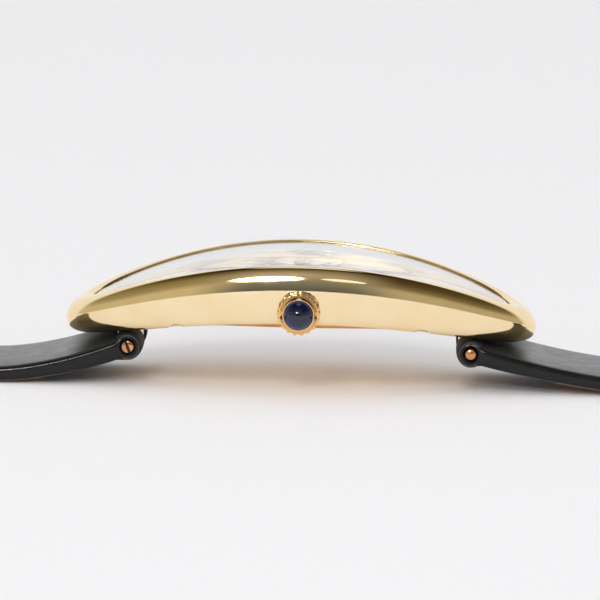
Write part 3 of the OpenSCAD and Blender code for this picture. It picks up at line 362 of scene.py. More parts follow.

# Painted shade in the notches
# A thin dark arc of painted shade lies in the roof of each notch, under the band, where the gap is in
# shadow.

# a dark material of painted shade on gold, for the shaded roof of the notches and the slots of the
# screws
painted_shade = moulded("painted_shade_on_gold", ("#1E130B", "#35231A"), 0.45, 0.05)
ARC_HALF, ARC_STEPS = 41, 30
SHADE_IN, SHADE_OUT, SHADE_DEEP = SCOOP_R - 0.09, SCOOP_R + 0.03, 0.6
for clock, x in (("6", -NOTCH_AT), ("12", NOTCH_AT)):
    front = (FOOT[1] - 0.06) * math.sqrt(1 - (x / FOOT[0]) ** 2)
    rings = []
    for k in range(ARC_STEPS + 1):
        a = math.radians(-ARC_HALF + 2 * ARC_HALF * k / ARC_STEPS)
        for r, y in ((SHADE_OUT, -front), (SHADE_IN, -front), (SHADE_IN, SHADE_DEEP - front),
                     (SHADE_OUT, SHADE_DEEP - front)):
            rings.append((x + r * math.sin(a), y, foot_z(x) + SCOOP_DEEP - SCOOP_R + r * math.cos(a)))
    piece(f"notch_painted_shade_{clock}", rings, bar_faces(ARC_STEPS + 1, 4), painted_shade, "case", "gold")

# Movement plates
# The plate and bridges are brass with nickel plating. The plate is covered in overlapping
# circular graining, and the bridges carry straight stripes about 0.7 mm wide.


# a diagonal wave of scale 1 repeats after this distance along x + y + z
WAVE = math.tau / 10


def plated(name, stripes):
    """Nickel plating over stripes 1.3 mm apart, or over grained spots 0.8 mm across."""
    material, tree, shader, place = finish(name)
    if stripes:
        pattern = node(tree, "TexWave", {
            "Vector": place, "Scale": WAVE * per_metre(1.9), "Distortion": 0.4, "Detail": 2.0,
            "Detail Scale": 3.0}, wave_type="BANDS", bands_direction="DIAGONAL")
        height = pattern.outputs["Fac"]
    else:
        pattern = node(tree, "TexVoronoi", {
            "Vector": place, "Scale": per_metre(0.769), "Randomness": 0.15})
        ringed = node(tree, "Math", {0: pattern.outputs["Distance"], 1: 60.0}, operation="MULTIPLY")
        height = node(tree, "Math", {0: ringed}, operation="SINE")
    grained(tree, shader, height, [(0.2, "#CFCBBF"), (0.8, "#E6E3DA")], 0.3, 0.00002)
    feed(tree, shader, {"Metallic": 1.0, "Roughness": 0.28})
    return material


refinish(plated("circular_grained_nickel", False), "mainplate")
refinish(plated("striped_nickel", True), "barrel_bridge", "train_bridge", "balance_cock")

# Wheels, springs, screws and jewels
# The train wheels are gilt brass, the winding wheels and small levers polished steel, the
# screws and the hairspring heat-blued steel, and the bearings red synthetic ruby.


def turned_metal(name, dark, light, roughness, grain_mm):
    """Turned and rubbed metal, with a fine uneven grain of a given size."""
    material, tree, shader, place = finish(name)
    grain = node(tree, "TexNoise", {
        "Vector": place, "Scale": per_metre(grain_mm), "Detail": 5.0, "Roughness": 0.7})
    grained(tree, shader, grain, [(0.3, dark), (0.75, light)], 0.12, 0.00001)
    feed(tree, shader, {"Metallic": 1.0, "Roughness": roughness})
    return material


gilt_brass = turned_metal("gilt_brass", "#D9B469", "#EBCB86", 0.24, 0.15)
ring_brass = turned_metal("drawn_brass", "#CDB277", "#DDC490", 0.32, 0.3)
bright_steel = turned_metal("polished_steel", "#BFC2C6", "#D5D8DB", 0.14, 0.2)
blued_steel = turned_metal("heat_blued_steel", "#1B2F66", "#2A4690", 0.16, 0.3)
refinish(gilt_brass, "barrel", "centre_wheel", "third_wheel", "fourth_wheel", "balance_wheel",
         "minute_wheel", "hour_wheel")
refinish(ring_brass, "movement_ring")
refinish(bright_steel, "ratchet_wheel", "crown_wheel", "click", "escape_wheel", "pallet_fork",
         "cannon_pinion", "winding_stem", "winding_pinion", "sliding_pinion", "buckle_spring_bar")
refinish(blued_steel, "bridge_screws", "hairspring")
# polished corundum: an even deep red with a hard bright face
ruby, tree, shader, place = finish("synthetic_ruby")
cloud = node(tree, "TexNoise", {"Vector": place, "Scale": per_metre(0.4)})
grained(tree, shader, cloud, [(0.3, "#8E1238"), (0.7, "#B81D4A")])
feed(tree, shader, {"Roughness": 0.05, "IOR": 1.76})
refinish(ruby, "jewels")

# Dial
# A thin brass oval, arched with the case and silvered, with a sunray brushed middle. The
# hour numerals and the minute track are printed on it in black, stretched to the oval.

DIAL, DIAL_THICK, DIAL_HOLE = (20.15, 8.5), 0.35, 0.86
# the share of the way out at which the innermost ring of points lies
DIAL_FROM = 0.045


def dial_z(x):
    return arch(x, 4.1, 62)


# silver brushed in rays from the middle and lacquered half matt, so it looks nearly white
silver, tree, shader, place = finish("silvered_sunray_lacquer")
split = node(tree, "SeparateXYZ", {"Vector": place})
angle = node(tree, "Math", {0: split.outputs["Y"], 1: split.outputs["X"]}, operation="ARCTAN2")
RAYS = 264
rays = node(tree, "TexNoise", {
    "Vector": node(tree, "CombineXYZ", {"X": angle}),
    "Scale": RAYS / math.tau, "Detail": 4.0, "Roughness": 0.7})
grained(tree, shader, rays, [(0.3, "#EEE8DE"), (0.7, "#F4EFE6")], 0.04, 0.00003)
feed(tree, shader, {"Metallic": 0.12, "Roughness": 0.55})

steps, rows = 240, 20
points = []
for k in range(rows + 1):
    f = DIAL_FROM + (1 - DIAL_FROM) * k / rows
    a, b = max(DIAL_HOLE, DIAL[0] * f), max(DIAL_HOLE, DIAL[1] * f)
    points += [(a * math.cos(t), b * math.sin(t), dial_z(a * math.cos(t)))
               for t in angles(steps)]
points += [(x, y, z - DIAL_THICK) for x, y, z in points]
m = (rows + 1) * steps
faces = ring_faces(rows + 1, steps, open_rings=True)
faces += [tuple(m + i for i in reversed(face)) for face in faces]
faces += [(base + i, base + (i + 1) % steps, m + base + (i + 1) % steps, m + base + i)
          for base in (0, rows * steps) for i in range(steps)]
piece("dial_silvered", points, faces, silver, "case", "dial", ["dial"])

# the printing ink stands 0.02 mm proud of the lacquer
ink, tree, shader, place = finish("pad_printed_black_ink")
speck = node(tree, "TexNoise", {"Vector": place, "Scale": per_metre(0.111)})
grained(tree, shader, speck, [(0.3, "#101012"), (0.7, "#1C1C20")])
feed(tree, shader, {"Roughness": 0.35})
INK_RISE = 0.02
# shares of the way from the dial's middle to its edge
NUMERAL_OUT, NUMERAL_IN = 0.93, 0.60
TRACK_IN, TRACK_OUT = 0.545, 0.575
SERIF_HALF, SERIF_IN = 0.24, 0.16
LETTER_WIDTH = {"I": 0.55, "V": 1.15, "X": 1.15}
printed, printed_faces = [], []


def on_dial(turn, share):
    """A point of the dial's face, a share of the way out along the direction of a hand."""
    c, s = math.cos(turn), math.sin(turn)
    reach = 1 / math.sqrt((c / DIAL[0]) ** 2 + (s / DIAL[1]) ** 2)
    return reach * share * c, reach * share * s


def stroke(a, b, width_a, width_b):
    """One printed line between two points of the dial, with its width at each."""
    way = Vector((b[0] - a[0], b[1] - a[1]))
    across = Vector((-way.y, way.x)).normalized()
    count = max(2, int(way.length / 0.5) + 1)
    base = len(printed)
    for k in range(count):
        f = k / (count - 1)
        half = (width_a + (width_b - width_a) * f) / 2
        x, y = a[0] + way.x * f, a[1] + way.y * f
        for sign in (-1, 1):
            px, py = x + across.x * half * sign, y + across.y * half * sign
            printed.append((px, py, dial_z(px) + INK_RISE))
            printed.append((px, py, dial_z(px) - 0.01))
    for k in range(count - 1):
        q = base + 4 * k
        for r in ((0, 4, 6, 2), (1, 3, 7, 5), (0, 1, 5, 4), (2, 6, 7, 3)):
            printed_faces.append(tuple(q + j for j in r))
    for q, flip in ((base, (0, 2, 3, 1)), (base + 4 * (count - 1), (0, 1, 3, 2))):
        printed_faces.append(tuple(q + j for j in flip))


def numeral(hour, letters):
    """A roman numeral whose strokes run in towards the middle of the dial."""
    # the hours run clockwise from 12 o'clock, which is at +X
    turn = -math.tau * hour / 12
    middle_in, middle_out = on_dial(turn, NUMERAL_IN), on_dial(turn, NUMERAL_OUT)
    way = Vector((middle_out[0] - middle_in[0], middle_out[1] - middle_in[1]))
    side = Vector((way.y, -way.x)).normalized()
    # the letters are wider at the outer end of the numeral
    spread = 1.45 if hour % 6 == 0 else 1.15
    at = -sum(LETTER_WIDTH[c] for c in letters) / 2

    def spot(along, out):
        p = Vector(middle_in) + way * out + side * along * (1 + (spread - 1) * out)
        return p.x, p.y

    for c in letters:
        right = at + LETTER_WIDTH[c]
        mid, near, far = (at + right) / 2, at + SERIF_IN, right - SERIF_IN
        if c == "I":
            stroke(spot(mid, 0.02), spot(mid, 0.98), 0.24, 0.3)
            feet = [(mid, 0.0), (mid, 1.0)]
        elif c == "V":
            stroke(spot(near, 0.98), spot(mid, 0.02), 0.3, 0.2)
            stroke(spot(far, 0.98), spot(mid, 0.02), 0.1, 0.08)
            feet = [(near, 1.0), (far, 1.0)]
        else:
            stroke(spot(near, 0.98), spot(far, 0.02), 0.3, 0.24)
            stroke(spot(far, 0.98), spot(near, 0.02), 0.1, 0.08)
            feet = [(x, y) for x in (near, far) for y in (0.0, 1.0)]
        for x, y in feet:
            stroke(spot(x - SERIF_HALF, y), spot(x + SERIF_HALF, y), 0.07, 0.07)
        at = right


for hour, letters in enumerate("XII I II III IIII V VI VII VIII IX X XI".split()):
    numeral(hour, letters)
for minute in range(60):
    turn = math.tau * minute / 60
    width = 0.16 if minute % 5 == 0 else 0.06
    stroke(on_dial(turn, TRACK_IN), on_dial(turn, TRACK_OUT), width, width)
for share in (TRACK_IN, TRACK_OUT):
    for turn in angles(180):
        stroke(on_dial(turn, share), on_dial(turn + math.tau / 180, share), 0.05, 0.05)
piece("dial_printing", printed, printed_faces, ink, "case", "dial")

# Hands
# Two leaf hands of heat-blued steel, each ground to a ridge along its middle, ride on the
# hour wheel's pipe and on the cannon pinion.

HAND_THICK, HAND_EDGE = 0.1, 0.02
TAIL_STEPS, LEAF_STEPS = 8, 40
HOUR_Z = 4.35
flame_blue = turned_metal("flame_blued_hands", "#1D3C8C", "#2E55B0", 0.1, 0.4)


def leaf_half(u, width):
    """Half width of a hand, a share u of the way from its boss to its tip."""
    return width * max(0.0, math.sin(math.pi * u ** 0.8)) ** 0.9 + 0.06 * (1 - u)


def hand(body, z, turn, length, width, boss, bore):
    """A leaf hand with a short tail, on a low turned boss that is pressed on its pipe."""
    points = []
    for k in range(-TAIL_STEPS, LEAF_STEPS + 1):
        u = k / LEAF_STEPS
        half = max(leaf_half(u, width) if k >= 0 else 0.1, HAND_EDGE)
        x = length * u * (1.1 if k < 0 else 1)
        points += [(x, -half, HAND_EDGE), (x, 0, HAND_THICK), (x, half, HAND_EDGE), (x, half, 0),
                   (x, -half, 0)]
    faces = bar_faces(TAIL_STEPS + LEAF_STEPS + 1, 5)
    base, sides, top = len(points), 64, HAND_THICK + 0.02
    for r, rise in ((bore, 0.0), (boss, 0.0), (boss, HAND_THICK * 0.8), (boss - 0.06, top),
                    (bore, top)):
        points += [(r * math.cos(t), r * math.sin(t), rise) for t in angles(sides)]
    faces += [tuple(base + i for i in face) for face in ring_faces(5, sides)]
    c, s = math.cos(turn), math.sin(turn)
    points = [(x * c - y * s, x * s + y * c, rise + z) for x, y, rise in points]
    piece(f"{body}_blued", points, faces, flame_blue, body, "blued_steel", [body], crease=15)


hand("hour_hand", HOUR_Z, math.radians(55), 5.0, 0.42, 1.0, 0.76)
hand("minute_hand", HOUR_Z + 0.3, math.radians(-60), 7.6, 0.34, 0.75, 0.46)

# Bezel
# The bezel is the upper half of the case. Its side rolls over from the widest line to a
# narrow lip, and the crystal sits inside the lip on a ledge.

CREASE, LEDGE = (21.0, 9.5), (20.6, 8.65)
SEAT_DEPTH = 1.0
LIP_RISE, LIP_IN, LIP_ROUND, LIP_STEPS = 0.12, 0.24, 0.18, 8
BEZEL_LEAN = math.radians(13)


def top_z(x):
    return arch(x, 6.1, 50)


def bezel_ring(turn):
    """One cut through the bezel: its rolled side, the lip, the crystal's seat and the hollow."""
    wide, crease = oval(GIRTH, turn), oval(CREASE, turn)
    ledge, hollow = oval(LEDGE, turn), oval(HOLLOW, turn)
    c, s = math.cos(turn), math.sin(turn)
    top, girth = top_z(crease[0]) + LIP_RISE, girth_z(wide[0])
    points = [(*wide, girth - SEAM_DROP)]
    for k in range(ROLL_STEPS + 1):
        f = BEZEL_LEAN + (math.pi / 2 - BEZEL_LEAN) * k / ROLL_STEPS
        q = 1 - math.cos(f) / math.cos(BEZEL_LEAN)
        h = (math.sin(f) - math.sin(BEZEL_LEAN)) / (1 - math.sin(BEZEL_LEAN))
        points.append((wide[0] + (crease[0] - wide[0]) * q, wide[1] + (crease[1] - wide[1]) * q,
                       girth + (top - girth) * h))
    # the lip turns over to the seat with a bright round
    for k in range(1, LIP_STEPS + 1):
        f = math.pi / 2 * k / LIP_STEPS
        points.append((crease[0] - LIP_IN * c * math.sin(f), crease[1] - LIP_IN * s * math.sin(f),
                       top - LIP_ROUND * (1 - math.cos(f))))
    points.append((crease[0] - LIP_IN * c, crease[1] - LIP_IN * s, top_z(crease[0]) - SEAT_DEPTH))
    points.append((*ledge, top_z(ledge[0]) - SEAT_DEPTH))
    points.append((*ledge, girth_z(ledge[0]) - SEAM_DROP))
    points.append((*hollow, girth_z(hollow[0]) - SEAM_DROP))
    return points


cuts = [bezel_ring(turn) for turn in angles(ROUND_STEPS)]
piece("bezel_polished", [p for ring in cuts for p in ring], ring_faces(ROUND_STEPS, len(cuts[0])),
      case_gold, "case", "gold", ["bezel"], crease=40)

# Crystal
# The crystal is mineral glass, ground to the arch of the case with a low dome across, and
# polished clear. Its rim is ground to a small bevel that catches the light.

GLASS_GAP = 0.05
GLASS = (CREASE[0] - LIP_IN - GLASS_GAP, CREASE[1] - LIP_IN - GLASS_GAP)
GLASS_DROP, GLASS_RIM, GLASS_DOME, GLASS_BEVEL = 0.12, 0.8, 0.5, 0.1

# clear with sharp reflections, and the faintest wear in patches of two millimetres
glass, tree, shader, place = finish("polished_mineral_glass")
wear = node(tree, "TexNoise", {"Vector": place, "Scale": per_metre(2.0), "Detail": 4.0})
rough = node(tree, "MapRange", {"Value": wear, "To Min": 0.0, "To Max": 0.012})
feed(tree, shader, {
    "Base Color": linear("#FBFDFF"), "Roughness": rough, "Transmission Weight": 1.0, "IOR": 1.52})
# light on its way to the dial passes the thin glass straight
paths = node(tree, "LightPath", {})
lit = node(tree, "Math", {
    0: paths.outputs["Is Shadow Ray"], 1: paths.outputs["Is Diffuse Ray"]}, operation="MAXIMUM")
clear = node(tree, "BsdfTransparent", {})
both = node(tree, "MixShader", {0: lit, 1: shader, 2: clear})
feed(tree, tree.nodes["Material Output"], {"Surface": both})

steps = 240


def glass_ring(share, drop):
    """One ring of the crystal, a share of the way out, a drop below its upper face."""
    out = []
    for t in angles(steps):
        x, y = GLASS[0] * share * math.cos(t), GLASS[1] * share * math.sin(t)
        out.append((x, y, top_z(x) - GLASS_DROP - drop + GLASS_DOME * (1 - share * share)))
    return out


points = []
# the rim, the inner edge of its bevel, and 23 rings to the middle
shares = [1.0] + [1 - GLASS_BEVEL / 9.3] + [1 - 0.02 - 0.98 * k / 23 for k in range(23)]
for k, share in enumerate(shares):
    points += glass_ring(share, GLASS_BEVEL if k == 0 else 0.0)
points.append((0, 0, top_z(0) - GLASS_DROP + GLASS_DOME))
base = len(points)
for share in shares:
    points += glass_ring(share, GLASS_RIM)
points.append((0, 0, top_z(0) - GLASS_DROP - GLASS_RIM + GLASS_DOME))
n = len(shares)
faces = ring_faces(n, steps, open_rings=True)
faces += [((n - 1) * steps + i, (n - 1) * steps + (i + 1) % steps, n * steps) for i in range(steps)]
faces += [tuple(base + i for i in reversed(face)) for face in faces]
faces += [(i, (i + 1) % steps, base + (i + 1) % steps, base + i) for i in range(steps)]
piece("crystal_glass", points, faces, glass, "case", "crystal", ["crystal"], crease=30)

# Crown and its tube
# The crown is gold with eighteen round flutes for the fingers and a smooth coned collar.
# It pulls out on its steel stem over a tube that is pressed into the band.

refinish(case_gold, "crown_tube")
CROWN_R, STONE_R = 2.125, 1.425
CROWN_BACK, CROWN_WIDE, COLLAR_WIDE = -10.67, 1.35, 0.55
CROWN_FRONT = CROWN_WIDE + COLLAR_WIDE
STONE_SEAT = CROWN_FRONT - 0.25
FLUTES, FLUTE_R, FLUTE_OUT = 18, 0.26, 0.08
PITCH = math.tau / FLUTES
crown_gold = polished_gold("buffed_crown_gold", ("#F9D29A", "#EFC081"), scratch=0.05, haze=0.08)
sides = FLUTES * 20
profile = [(0.98, 0.0), (CROWN_R - 0.15, 0.0), (CROWN_R - 0.05, 0.04), (CROWN_R, 0.12),
           (CROWN_R, 0.26), (CROWN_R, 0.3)]
profile += [(CROWN_R, 0.36 + 0.08 * k) for k in range(11)]
profile += [(CROWN_R - 0.02, 1.24), (CROWN_R - 0.06, 1.3), (CROWN_R - 0.13, 1.35),
            (CROWN_R - 0.26, 1.36), (STONE_R + 0.16, CROWN_FRONT - 0.04), (STONE_R + 0.12, CROWN_FRONT),
            (STONE_R + 0.05, CROWN_FRONT), (STONE_R, CROWN_FRONT - 0.04), (STONE_R, STONE_SEAT),
            (0.2, STONE_SEAT)]
points = []
for radius, out in profile:
    for t in angles(sides):
        r = radius
        off = ((t + PITCH / 2) % PITCH - PITCH / 2) * CROWN_R
        if radius > CROWN_R - 0.3 and 0.27 < out < 1.37 and abs(off) < FLUTE_R:
            r = min(radius, CROWN_R + FLUTE_OUT - math.sqrt(FLUTE_R ** 2 - off ** 2))
        points.append((r * math.sin(t), CROWN_BACK - out, STEM_Z + r * math.cos(t)))
piece("crown_fluted", points, bar_faces(len(profile), sides), crown_gold, "crown", "gold", ["crown"],
      crease=38)

# Crown stone
# A round cabochon of deep blue synthetic spinel, cemented in the collar. Its colour is painted by how
# squarely
# it faces the view: dark from the front, with painted light in brighter blue at its rim for light
# through the stone.

stone, tree, shader, place = finish("blue_spinel_cabochon")
# the facing ramp paints light into the base colour: dark where the stone faces the view, painted
# brighter blue light towards the rim
facing = node(tree, "LayerWeight", {"Blend": 0.35})
grained(tree, shader, facing.outputs["Facing"], [
    (0.0, "#060A22"), (0.45, "#0B1748"), (0.8, "#2A60C8"), (1.0, "#4480E0")])
feed(tree, shader, {"Roughness": 0.03, "IOR": 1.65})
DOME, STONE_SUNK = 0.95, 0.24
dome_r = (STONE_R ** 2 + DOME ** 2) / (2 * DOME)
stone_r = STONE_R - 0.01
sides, rows = 120, 28
# the dome from its middle out, then the girdle that the cement holds
levels = [math.asin(stone_r / dome_r) * k / rows for k in range(1, rows + 1)]
levels = [(dome_r * math.sin(a), dome_r * math.cos(a) - dome_r + DOME) for a in levels]
points = [(0, CROWN_BACK - CROWN_FRONT - DOME, STEM_Z)]
for r, out in levels + [(stone_r, -STONE_SUNK)]:
    points += [(r * math.sin(t), CROWN_BACK - CROWN_FRONT - out, STEM_Z + r * math.cos(t))
               for t in angles(sides)]
faces = [(0, 1 + i, 1 + (i + 1) % sides) for i in range(sides)]
faces += [tuple(1 + j for j in face) for face in ring_faces(rows + 1, sides, open_rings=True)]
faces.append(tuple(range(1 + rows * sides, 1 + (rows + 1) * sides)))
piece("crown_stone", points, faces, stone, "crown", "stone", ["crown_cabochon"], crease=50)

# Strap bars and their screws
# Each strap turns on a tube of reddish gold with one closed, rounded end. A slotted screw
# of the same metal closes it from the other side.

rose_gold = polished_gold("turned_rose_gold", ("#E0A274", "#CF8B5C"), scratch=0.08, haze=0.14)
BAR_R, BAR_HALF = 0.625, 6.65
SCREW_R, SCREW_HEAD = 0.35, 0.8
UNDER_HEAD = BAR_HALF - SCREW_HEAD
SLOT_TURN, SLOT_HALF, SLOT_DEEP = math.radians(20), 0.15, 0.45


def turned(name, profile, at, facing, material, body, slot, stands_for=()):
    """A turned piece along the crown's direction, from (radius, distance) pairs on its axis.

    A profile that comes back to its first pair makes a ring.
    """
    sides = 96
    hollow = profile[0] == profile[-1]
    outline = profile[:-1] if hollow else profile
    points = [(at[0] + r * math.cos(t), facing * out, at[1] + r * math.sin(t))
              for r, out in outline for t in angles(sides)]
    faces = (ring_faces if hollow else bar_faces)(len(outline), sides)
    return piece(name, points, faces, material, body, slot, stands_for, crease=30)


for clock, side in (("12", 1), ("6", -1)):
    at = (side * BAR_AT, BAR_Z)
    # the closed end is rounded, and the other end is bored for the screw
    turned(f"bar_{clock}_turned", [
        (0.01, -BAR_HALF), (0.25, -BAR_HALF + 0.02), (0.45, -BAR_HALF + 0.07),
        (0.57, -BAR_HALF + 0.13), (0.61, -BAR_HALF + 0.19), (BAR_R, -BAR_HALF + 0.3),
        (BAR_R, UNDER_HEAD - 0.04), (BAR_R - 0.04, UNDER_HEAD), (SCREW_R + 0.01, UNDER_HEAD),
        (SCREW_R + 0.01, 2.2), (0.01, 2.2)],
        at, side, rose_gold, f"strap_{clock}", "rose_metal", [f"strap_bar_{clock}"])
    screw = turned(f"screw_{clock}_slotted", [
        (0.01, BAR_HALF), (0.46, BAR_HALF - 0.01), (0.57, BAR_HALF - 0.05), (BAR_R, BAR_HALF - 0.14),
        (BAR_R, UNDER_HEAD + 0.02), (SCREW_R, UNDER_HEAD + 0.02), (SCREW_R, 2.4), (0.01, 2.3)],
        at, side, rose_gold, f"strap_{clock}", "rose_metal", [f"strap_screw_{clock}"])
    # a slot 0.3 mm wide, turned as far as the screw came when it was tightened
    lie = (math.sin(SLOT_TURN) * side, math.cos(SLOT_TURN))
    across = (math.cos(SLOT_TURN), -math.sin(SLOT_TURN) * side)
    points = []
    for y in (BAR_HALF - SLOT_DEEP, BAR_HALF + 0.3):
        for a, b in ((-SLOT_HALF, -0.9), (SLOT_HALF, -0.9), (SLOT_HALF, 0.9), (-SLOT_HALF, 0.9)):
            points.append((at[0] + lie[0] * b + across[0] * a, side * y,
                           at[1] + lie[1] * b + across[1] * a))
    cut(screw, points, bar_faces(2, 4))
    # the walls and the floor of the slot get the dark painted shade material, standing in for the shade
    # down in the slot
    screw.data.materials.append(painted_shade)
    for face in screw.data.polygons:
        spot = face.center / MM
        off = abs((spot.x - at[0]) * across[0] + (spot.z - at[1]) * across[1])
        wall = off < SLOT_HALF + 0.01 and abs(face.normal.y) < 0.1
        if wall or off < 0.02 and abs(spot.y) < BAR_HALF - 0.3:
            face.material_index = 1

# Straps
# Each strap is black calf folded round its bar in two ears, with a padded middle, turned
# and painted edges, and a tan lining that starts where the turned edge ends.

TABLE_Z = -6.55
STRAP_THICK = 1.7
STRAP_HALF, STRAP_END_HALF = 7.0, 6.0
LENGTH_12, LENGTH_6 = 75.0, 110.0
LOOP_R = 1.46
BUCKLE_LOOP = 1.9
BUCKLE_Z = TABLE_Z + BUCKLE_LOOP
TIP_LEN, SWELL = 9.0, 6.0
EDGE_R, PADDING = 0.5, 0.12
# the padding falls to nothing over this border; both lines of a strap start at LINE_FROM
BORDER, LINE_FROM = 2.4, 1.1
# degrees round the bar at which the leather's loop starts and ends
LOOP_START, LOOP_END_12, LOOP_END_6 = 38, 300, 274
LINING, LINING_FROM, LINING_SHARE = 0.34, 8.5, 0.88
# distances from the middle of the watch, in metres
WAX_FROM, WAX_TO = 0.0205, 0.0235


def block(low, high):
    """Points and faces of a plain box, used for cutting."""
    points = [(x, y, z) for x in (low[0], high[0]) for y in (low[1], high[1])
              for z in (low[2], high[2])]
    return points, [(0, 1, 3, 2), (4, 6, 7, 5), (0, 4, 5, 1), (2, 3, 7, 6), (0, 2, 6, 4), (1, 5, 7, 3)]


def smooth(u):
    """A soft step from 0 to 1."""
    v = max(0.0, min(1.0, u))
    return v * v * (3 - 2 * v)


def settle(s, start, end, far, power):
    """A line that leaves the bar at a height and settles on the table at a distance."""
    return end + (start - end) * max(0.0, (far - s) / (far - LINE_FROM)) ** power


def strap_top(s, pointed):
    """Height of the leather's top; the two straps have bent a little differently in wear."""
    if pointed:
        return settle(s, BAR_Z + 0.78, TABLE_Z + STRAP_THICK, 14.0, 1.75)
    return settle(s, BAR_Z + 0.86, TABLE_Z + STRAP_THICK, 18.0, 1.7)


def strap_low(s, pointed):
    """Height of the lining's underside."""
    if pointed:
        return settle(s, BAR_Z - 1.46, TABLE_Z, 14.0, 1.9)
    return settle(s, BAR_Z - 1.24, TABLE_Z, 18.0, 1.5)


def strap_half(s, length, pointed):
    """Half width of a strap, eased at the bar, narrower to its end, and round at its tip."""
    half = STRAP_HALF - 0.3 * (1 - smooth(s / 1.6))
    half += (STRAP_END_HALF - STRAP_HALF) * smooth(s / length * 1.1)
    if pointed:
        u = (s - (length - TIP_LEN)) / TIP_LEN
        half *= 1 if u <= 0 else math.sqrt(max(0.0, 1 - min(1.0, u) ** 2.2))
    return half


def leather(name, tone, grain_mm, roughness, coat=0.0, ior=1.5):
    """Smooth calf: pores and creases in the grain, a waxed sheen and paler rubbed places."""
    material, tree, shader, place = finish(name)
    cells = node(tree, "TexVoronoi", {
        "Vector": place, "Scale": per_metre(grain_mm), "Randomness": 1.0}, feature="DISTANCE_TO_EDGE")
    soft = node(tree, "TexNoise", {
        "Vector": place, "Scale": per_metre(1.43), "Detail": 6.0, "Roughness": 0.65})
    mixed = node(tree, "Math", {0: cells.outputs["Distance"], 1: soft}, operation="MULTIPLY")
    bump = node(tree, "Bump", {"Height": mixed, "Strength": 0.45, "Distance": 0.00006})
    rough = node(tree, "MapRange", {
        "Value": soft, "From Min": 0.3, "From Max": 0.7,
        "To Min": roughness - 0.06, "To Max": roughness + 0.08})
    grained(tree, shader, soft, [(0.3, tone[0]), (0.7, tone[1])])
    if coat:
        # the wax is rubbed off where the leather folds round the bar, under the end of the case
        apart = node(tree, "SeparateXYZ", {"Vector": place})
        along = node(tree, "Math", {0: apart.outputs["X"]}, operation="ABSOLUTE")
        waxed, rubbed = [node(tree, "MapRange", {
            "Value": along, "From Min": WAX_FROM, "From Max": WAX_TO,
            "To Min": low, "To Max": high}, interpolation_type="SMOOTHSTEP")
            for low, high in ((0.0, coat), (0.35, 0.0))]
        rough = node(tree, "Math", {0: rough, 1: rubbed}, operation="ADD")
        feed(tree, shader, {"Coat Weight": waxed})
    feed(tree, shader, {"Roughness": rough, "Normal": bump, "Coat Roughness": 0.25, "IOR": ior})
    return material


calf = leather("black_box_calf", ("#0A0A0C", "#121214"), 0.22, 0.36, 0.3)
edge_paint = leather("burnished_black_edge", ("#0A0A0B", "#121213"), 0.5, 0.14, ior=1.4)
raw_edge = leather("raw_leather_end", ("#232325", "#343437"), 0.12, 0.6)
suede = leather("tan_lining_calf", ("#A9794C", "#C0905F"), 0.3, 0.62)


def strap_side(length, pointed, inset, lift, loop_end):
    """Side view of the leather, moved in by inset: top line, bar loop, lower line, far end."""
    line = [LINE_FROM + 0.45 * i for i in range(27)]
    bent, end = 13.2, length - (TIP_LEN if pointed else SWELL)
    line += [bent + (end - bent) * (i + 1) / 64 for i in range(64)]
    if pointed:
        line += [end + (TIP_LEN - 0.01) * math.sin(math.pi / 2 * i / 24) for i in range(1, 25)]
    else:
        line += [end + (SWELL - 1) * i / 10 for i in range(1, 11)]
    top = []
    for s in line:
        z = strap_top(s, pointed)
        if not pointed:
            z += (2 * BUCKLE_LOOP - STRAP_THICK - 0.05) * smooth((s - length + SWELL) / SWELL)
        top.append((s, z - inset))
    low = [(s, strap_low(s, pointed) + lift * smooth((s - LINING_FROM + 0.2) / 0.5) + inset)
           for s in line]
    if not pointed:
        low = [(s, z - lift * smooth((s - length + SWELL + 1.3) / 0.5)) for s, z in low]
    loop = [((LOOP_R - inset) * math.cos(a), BAR_Z + (LOOP_R - inset) * math.sin(a))
            for a in [math.radians(LOOP_START + (loop_end - LOOP_START) * k / 40) for k in range(41)]]
    far = []
    if not pointed:
        end_r = BUCKLE_LOOP - inset
        far = [(length + end_r * math.cos(a), BUCKLE_Z + end_r * math.sin(a))
               for a in [math.radians(-84 + 180 * k / 24) for k in range(25)]]
    return top, loop, low, far


def strap(body, side, length, pointed):
    """The leather of one strap, lofted across its width with rounded edges."""
    shares = [1.0, 0.997, 0.991, 0.982, 0.97, 0.955, 0.94, 0.9, 0.881, 0.88, 0.8, 0.6, 0.3, 0.0]
    shares = [-s for s in shares] + shares[-2::-1]
    rings, count = [], 0
    for share in shares:
        gap = (1 - abs(share)) * STRAP_HALF
        q = EDGE_R * (1 - math.sqrt(max(0.0, 1 - (1 - min(1.0, gap / EDGE_R)) ** 2)))
        # the padded middle stands a little higher than the border
        q += PADDING * (1 - smooth(gap / BORDER))
        # the edges are turned under, so the lining lies between them
        under = LINING if abs(share) <= LINING_SHARE else 0.0
        top, loop, low, far = strap_side(length, pointed, q, under,
                                         LOOP_END_6 if pointed else LOOP_END_12)
        ring = top[::-1] + loop + low + far
        count = len(ring)
        rings += [(side * (BAR_AT + s), share * strap_half(max(0.0, s), length, pointed), z)
                  for s, z in ring]
    n, k = len(shares), len(top)
    faces = ring_faces(n, count, open_rings=True)
    for base in (0, (n - 1) * count):
        t = [base + i for i in range(k)]
        b = [base + k + len(loop) + i for i in range(k)]
        faces += [(t[k - 1 - i], t[k - 2 - i], b[i + 1], b[i]) for i in range(k - 1)]
        faces.append((t[k - 1], *range(base + k, base + k + len(loop)), b[0]))
        if far:
            faces.append((b[k - 1], *range(b[0] + k, b[0] + k + len(far)), t[0]))
    made = piece(f"{body}_calf", rings, faces, calf, body, "leather", [f"{body}_leather"], crease=32)
    made.data.materials.append(edge_paint)
    for face in made.data.polygons:
        x, y = abs(face.center.x) / MM - BAR_AT, abs(face.center.y) / MM
        if y > 0.981 * strap_half(max(0.0, x), length, pointed):
            face.material_index = 1
    return made


